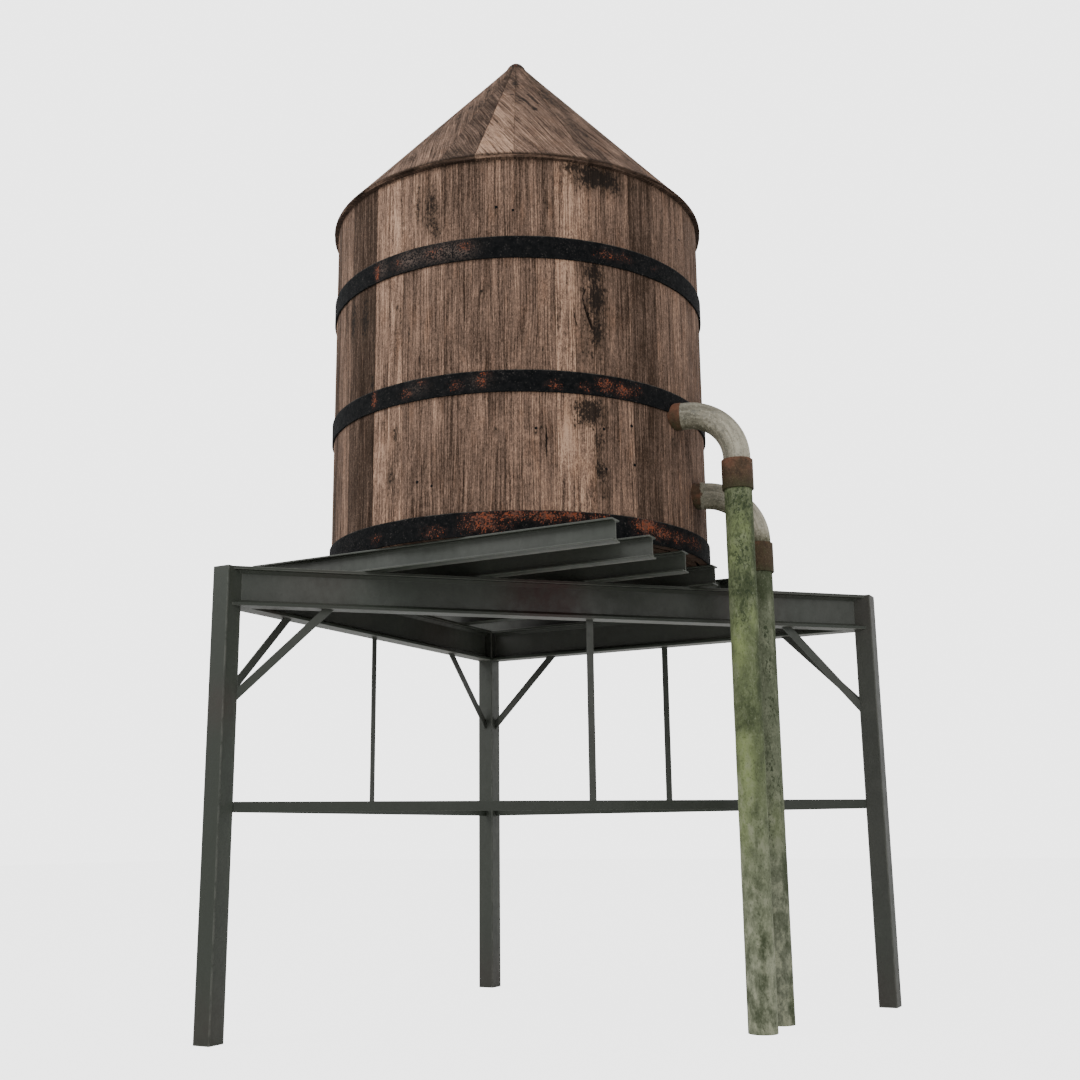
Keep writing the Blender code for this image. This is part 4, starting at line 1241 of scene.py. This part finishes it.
def riser(label, foot, level, seed):
    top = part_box(f"pipe_{label}_riser")[1].z
    z = np.concatenate([[0, PIPE_EDGE], np.arange(0.02, top - 0.03, RISER_STEP), [top - PIPE_EDGE, top]])
    path = together(*foot, z)
    rings, spokes, sheet = circle_rings(path, UPRIGHT, level, PIPE_RADIUS, PIPE_EDGE, seed, 0.0022)
    left = spokes @ SEEN_LEFT
    masks = {"grey": 0.9 if label == "lower" else 0.1}
    for name, places in MOSS_AND_SHADE[label].items():
        patches = [oval(left - side, rings[..., 2] - height, *rest) for side, height, *rest in places]
        masks[name] = strongest(*patches)
    mount(skin(f"riser_{label}", rings, masks, sheet), mossy, "mossy_pipe", f"pipe_{label}_riser")


def coupling(label, foot, level, seed, bottom, top):
    share = np.concatenate([[0, 0.012], np.linspace(0.04, 0.96, 12), [0.988, 1]])
    path = together(*foot, bottom + (top - bottom) * share)
    rings, _, sheet = circle_rings(path, UPRIGHT, level, COUPLING_RADIUS, COUPLING_EDGE, seed, 0.0012)
    share = (rings[..., 2] - bottom) / (top - bottom)
    under = np.clip(1.0 - 1.4 * share, 0 if label == "upper" else 0.60, 1)
    masks = {"under": under, "red": np.clip(share * 1.3 - 0.45, 0, 1) * (0.9 if label == "upper" else 0.25)}
    mount(skin(f"coupling_{label}", rings, masks, sheet), rusty, "rusty_fitting", f"pipe_{label}_coupling")


def bend(label, foot, level, outward, seed, top):
    """A short lead out of the collar, a quarter circle, and a short tail down to the coupling."""
    origin = INLETS[label]
    span = (foot - origin[:2]) @ outward[:2]
    turn = np.linspace(np.pi / 2, 0, 33)[:, None]
    centre = origin + outward * (span - BEND_RADIUS) - UPRIGHT * BEND_RADIUS
    curve = centre + BEND_RADIUS * (outward * np.cos(turn) + UPRIGHT * np.sin(turn))
    lead = origin + outward * np.linspace(COLLAR_LENGTH + SEAM, span - BEND_RADIUS, 4)[:-1, None]
    tail = together(*foot, np.linspace(origin[2] - BEND_RADIUS, top + SEAM, 3)[1:])
    turned_down = outward * np.sin(turn) - UPRIGHT * np.cos(turn)
    heading = np.concatenate([outward + 0 * lead, turned_down, -UPRIGHT + 0 * tail])
    path = np.concatenate([lead, curve, tail])
    rings, spokes, sheet = circle_rings(path, heading, -level, PIPE_RADIUS - 0.0002, 0.0, seed, 0.0030)
    under = np.clip(-spokes[..., 2] * 0.9 + 0.05, 0, 1)
    if label == "lower":
        under = np.maximum(under, np.clip(1.0 - (rings[..., 2] - top) / 0.16, 0, 0.95))
    mount(skin(f"bend_{label}", rings, {"under": under}, sheet), lichen, "lichen_pipe", f"pipe_{label}_bend")


def collar(label, level, outward):
    """Each line along it starts where it meets the circle of the wall, or of the hoop that it crosses."""
    inlet = INLETS[label]
    spin = turns(PIPE_SIDES)
    across, rise = COLLAR_RADII * np.cos(spin), inlet[2] + COLLAR_RADII * np.sin(spin)
    start_x = inlet[0] - level[0] * across - TANK_X
    start_y = inlet[1] - level[1] * across - TANK_Y
    low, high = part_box("hoop_middle")
    on_hoop = (rise > low.z) & (rise < high.z)
    behind = WALL_RADIUS + np.where(on_hoop, HOOP_THICK + 0.0008, 0.0006)
    slope = start_x * outward[0] + start_y * outward[1]
    begin = -slope + np.sqrt(slope**2 - start_x**2 - start_y**2 + behind**2)
    run = begin + (COLLAR_LENGTH - begin) * COLLAR_SHARES
    rings = together(TANK_X + start_x + outward[0] * run, TANK_Y + start_y + outward[1] * run, rise)
    crust = np.clip((run - 0.012) / 0.034, 0, 1) if label == "lower" else 0.0
    masks = {"under": np.clip(-np.sin(spin) * 0.9 + 0.15, 0, 1), "crust": crust}
    masks["red"] = 0.75 if label == "upper" else 0.35
    sheet = together(spin * PIPE_RADIUS, run)
    mount(skin(f"collar_{label}", rings, masks, sheet), rusty, "rusty_fitting", f"pipe_{label}_collar")


def pipe(label, seed):
    low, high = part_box(f"pipe_{label}_coupling")
    foot = np.array((low + high) / 2)[:2]
    outward = np.append(foot - INLETS[label][:2], 0.0)
    outward /= np.linalg.norm(outward)
    level = np.array([-outward[1], outward[0], 0.0])
    riser(label, foot, level, seed)
    coupling(label, foot, level, seed + 1, low.z, high.z)
    bend(label, foot, level, outward, seed + 2, high.z)
    collar(label, level, outward)


mossy = mossy_pipe()
lichen = lichen_pipe()
rusty = rusty_fitting()
pipe("upper", 61)
pipe("lower", 71)
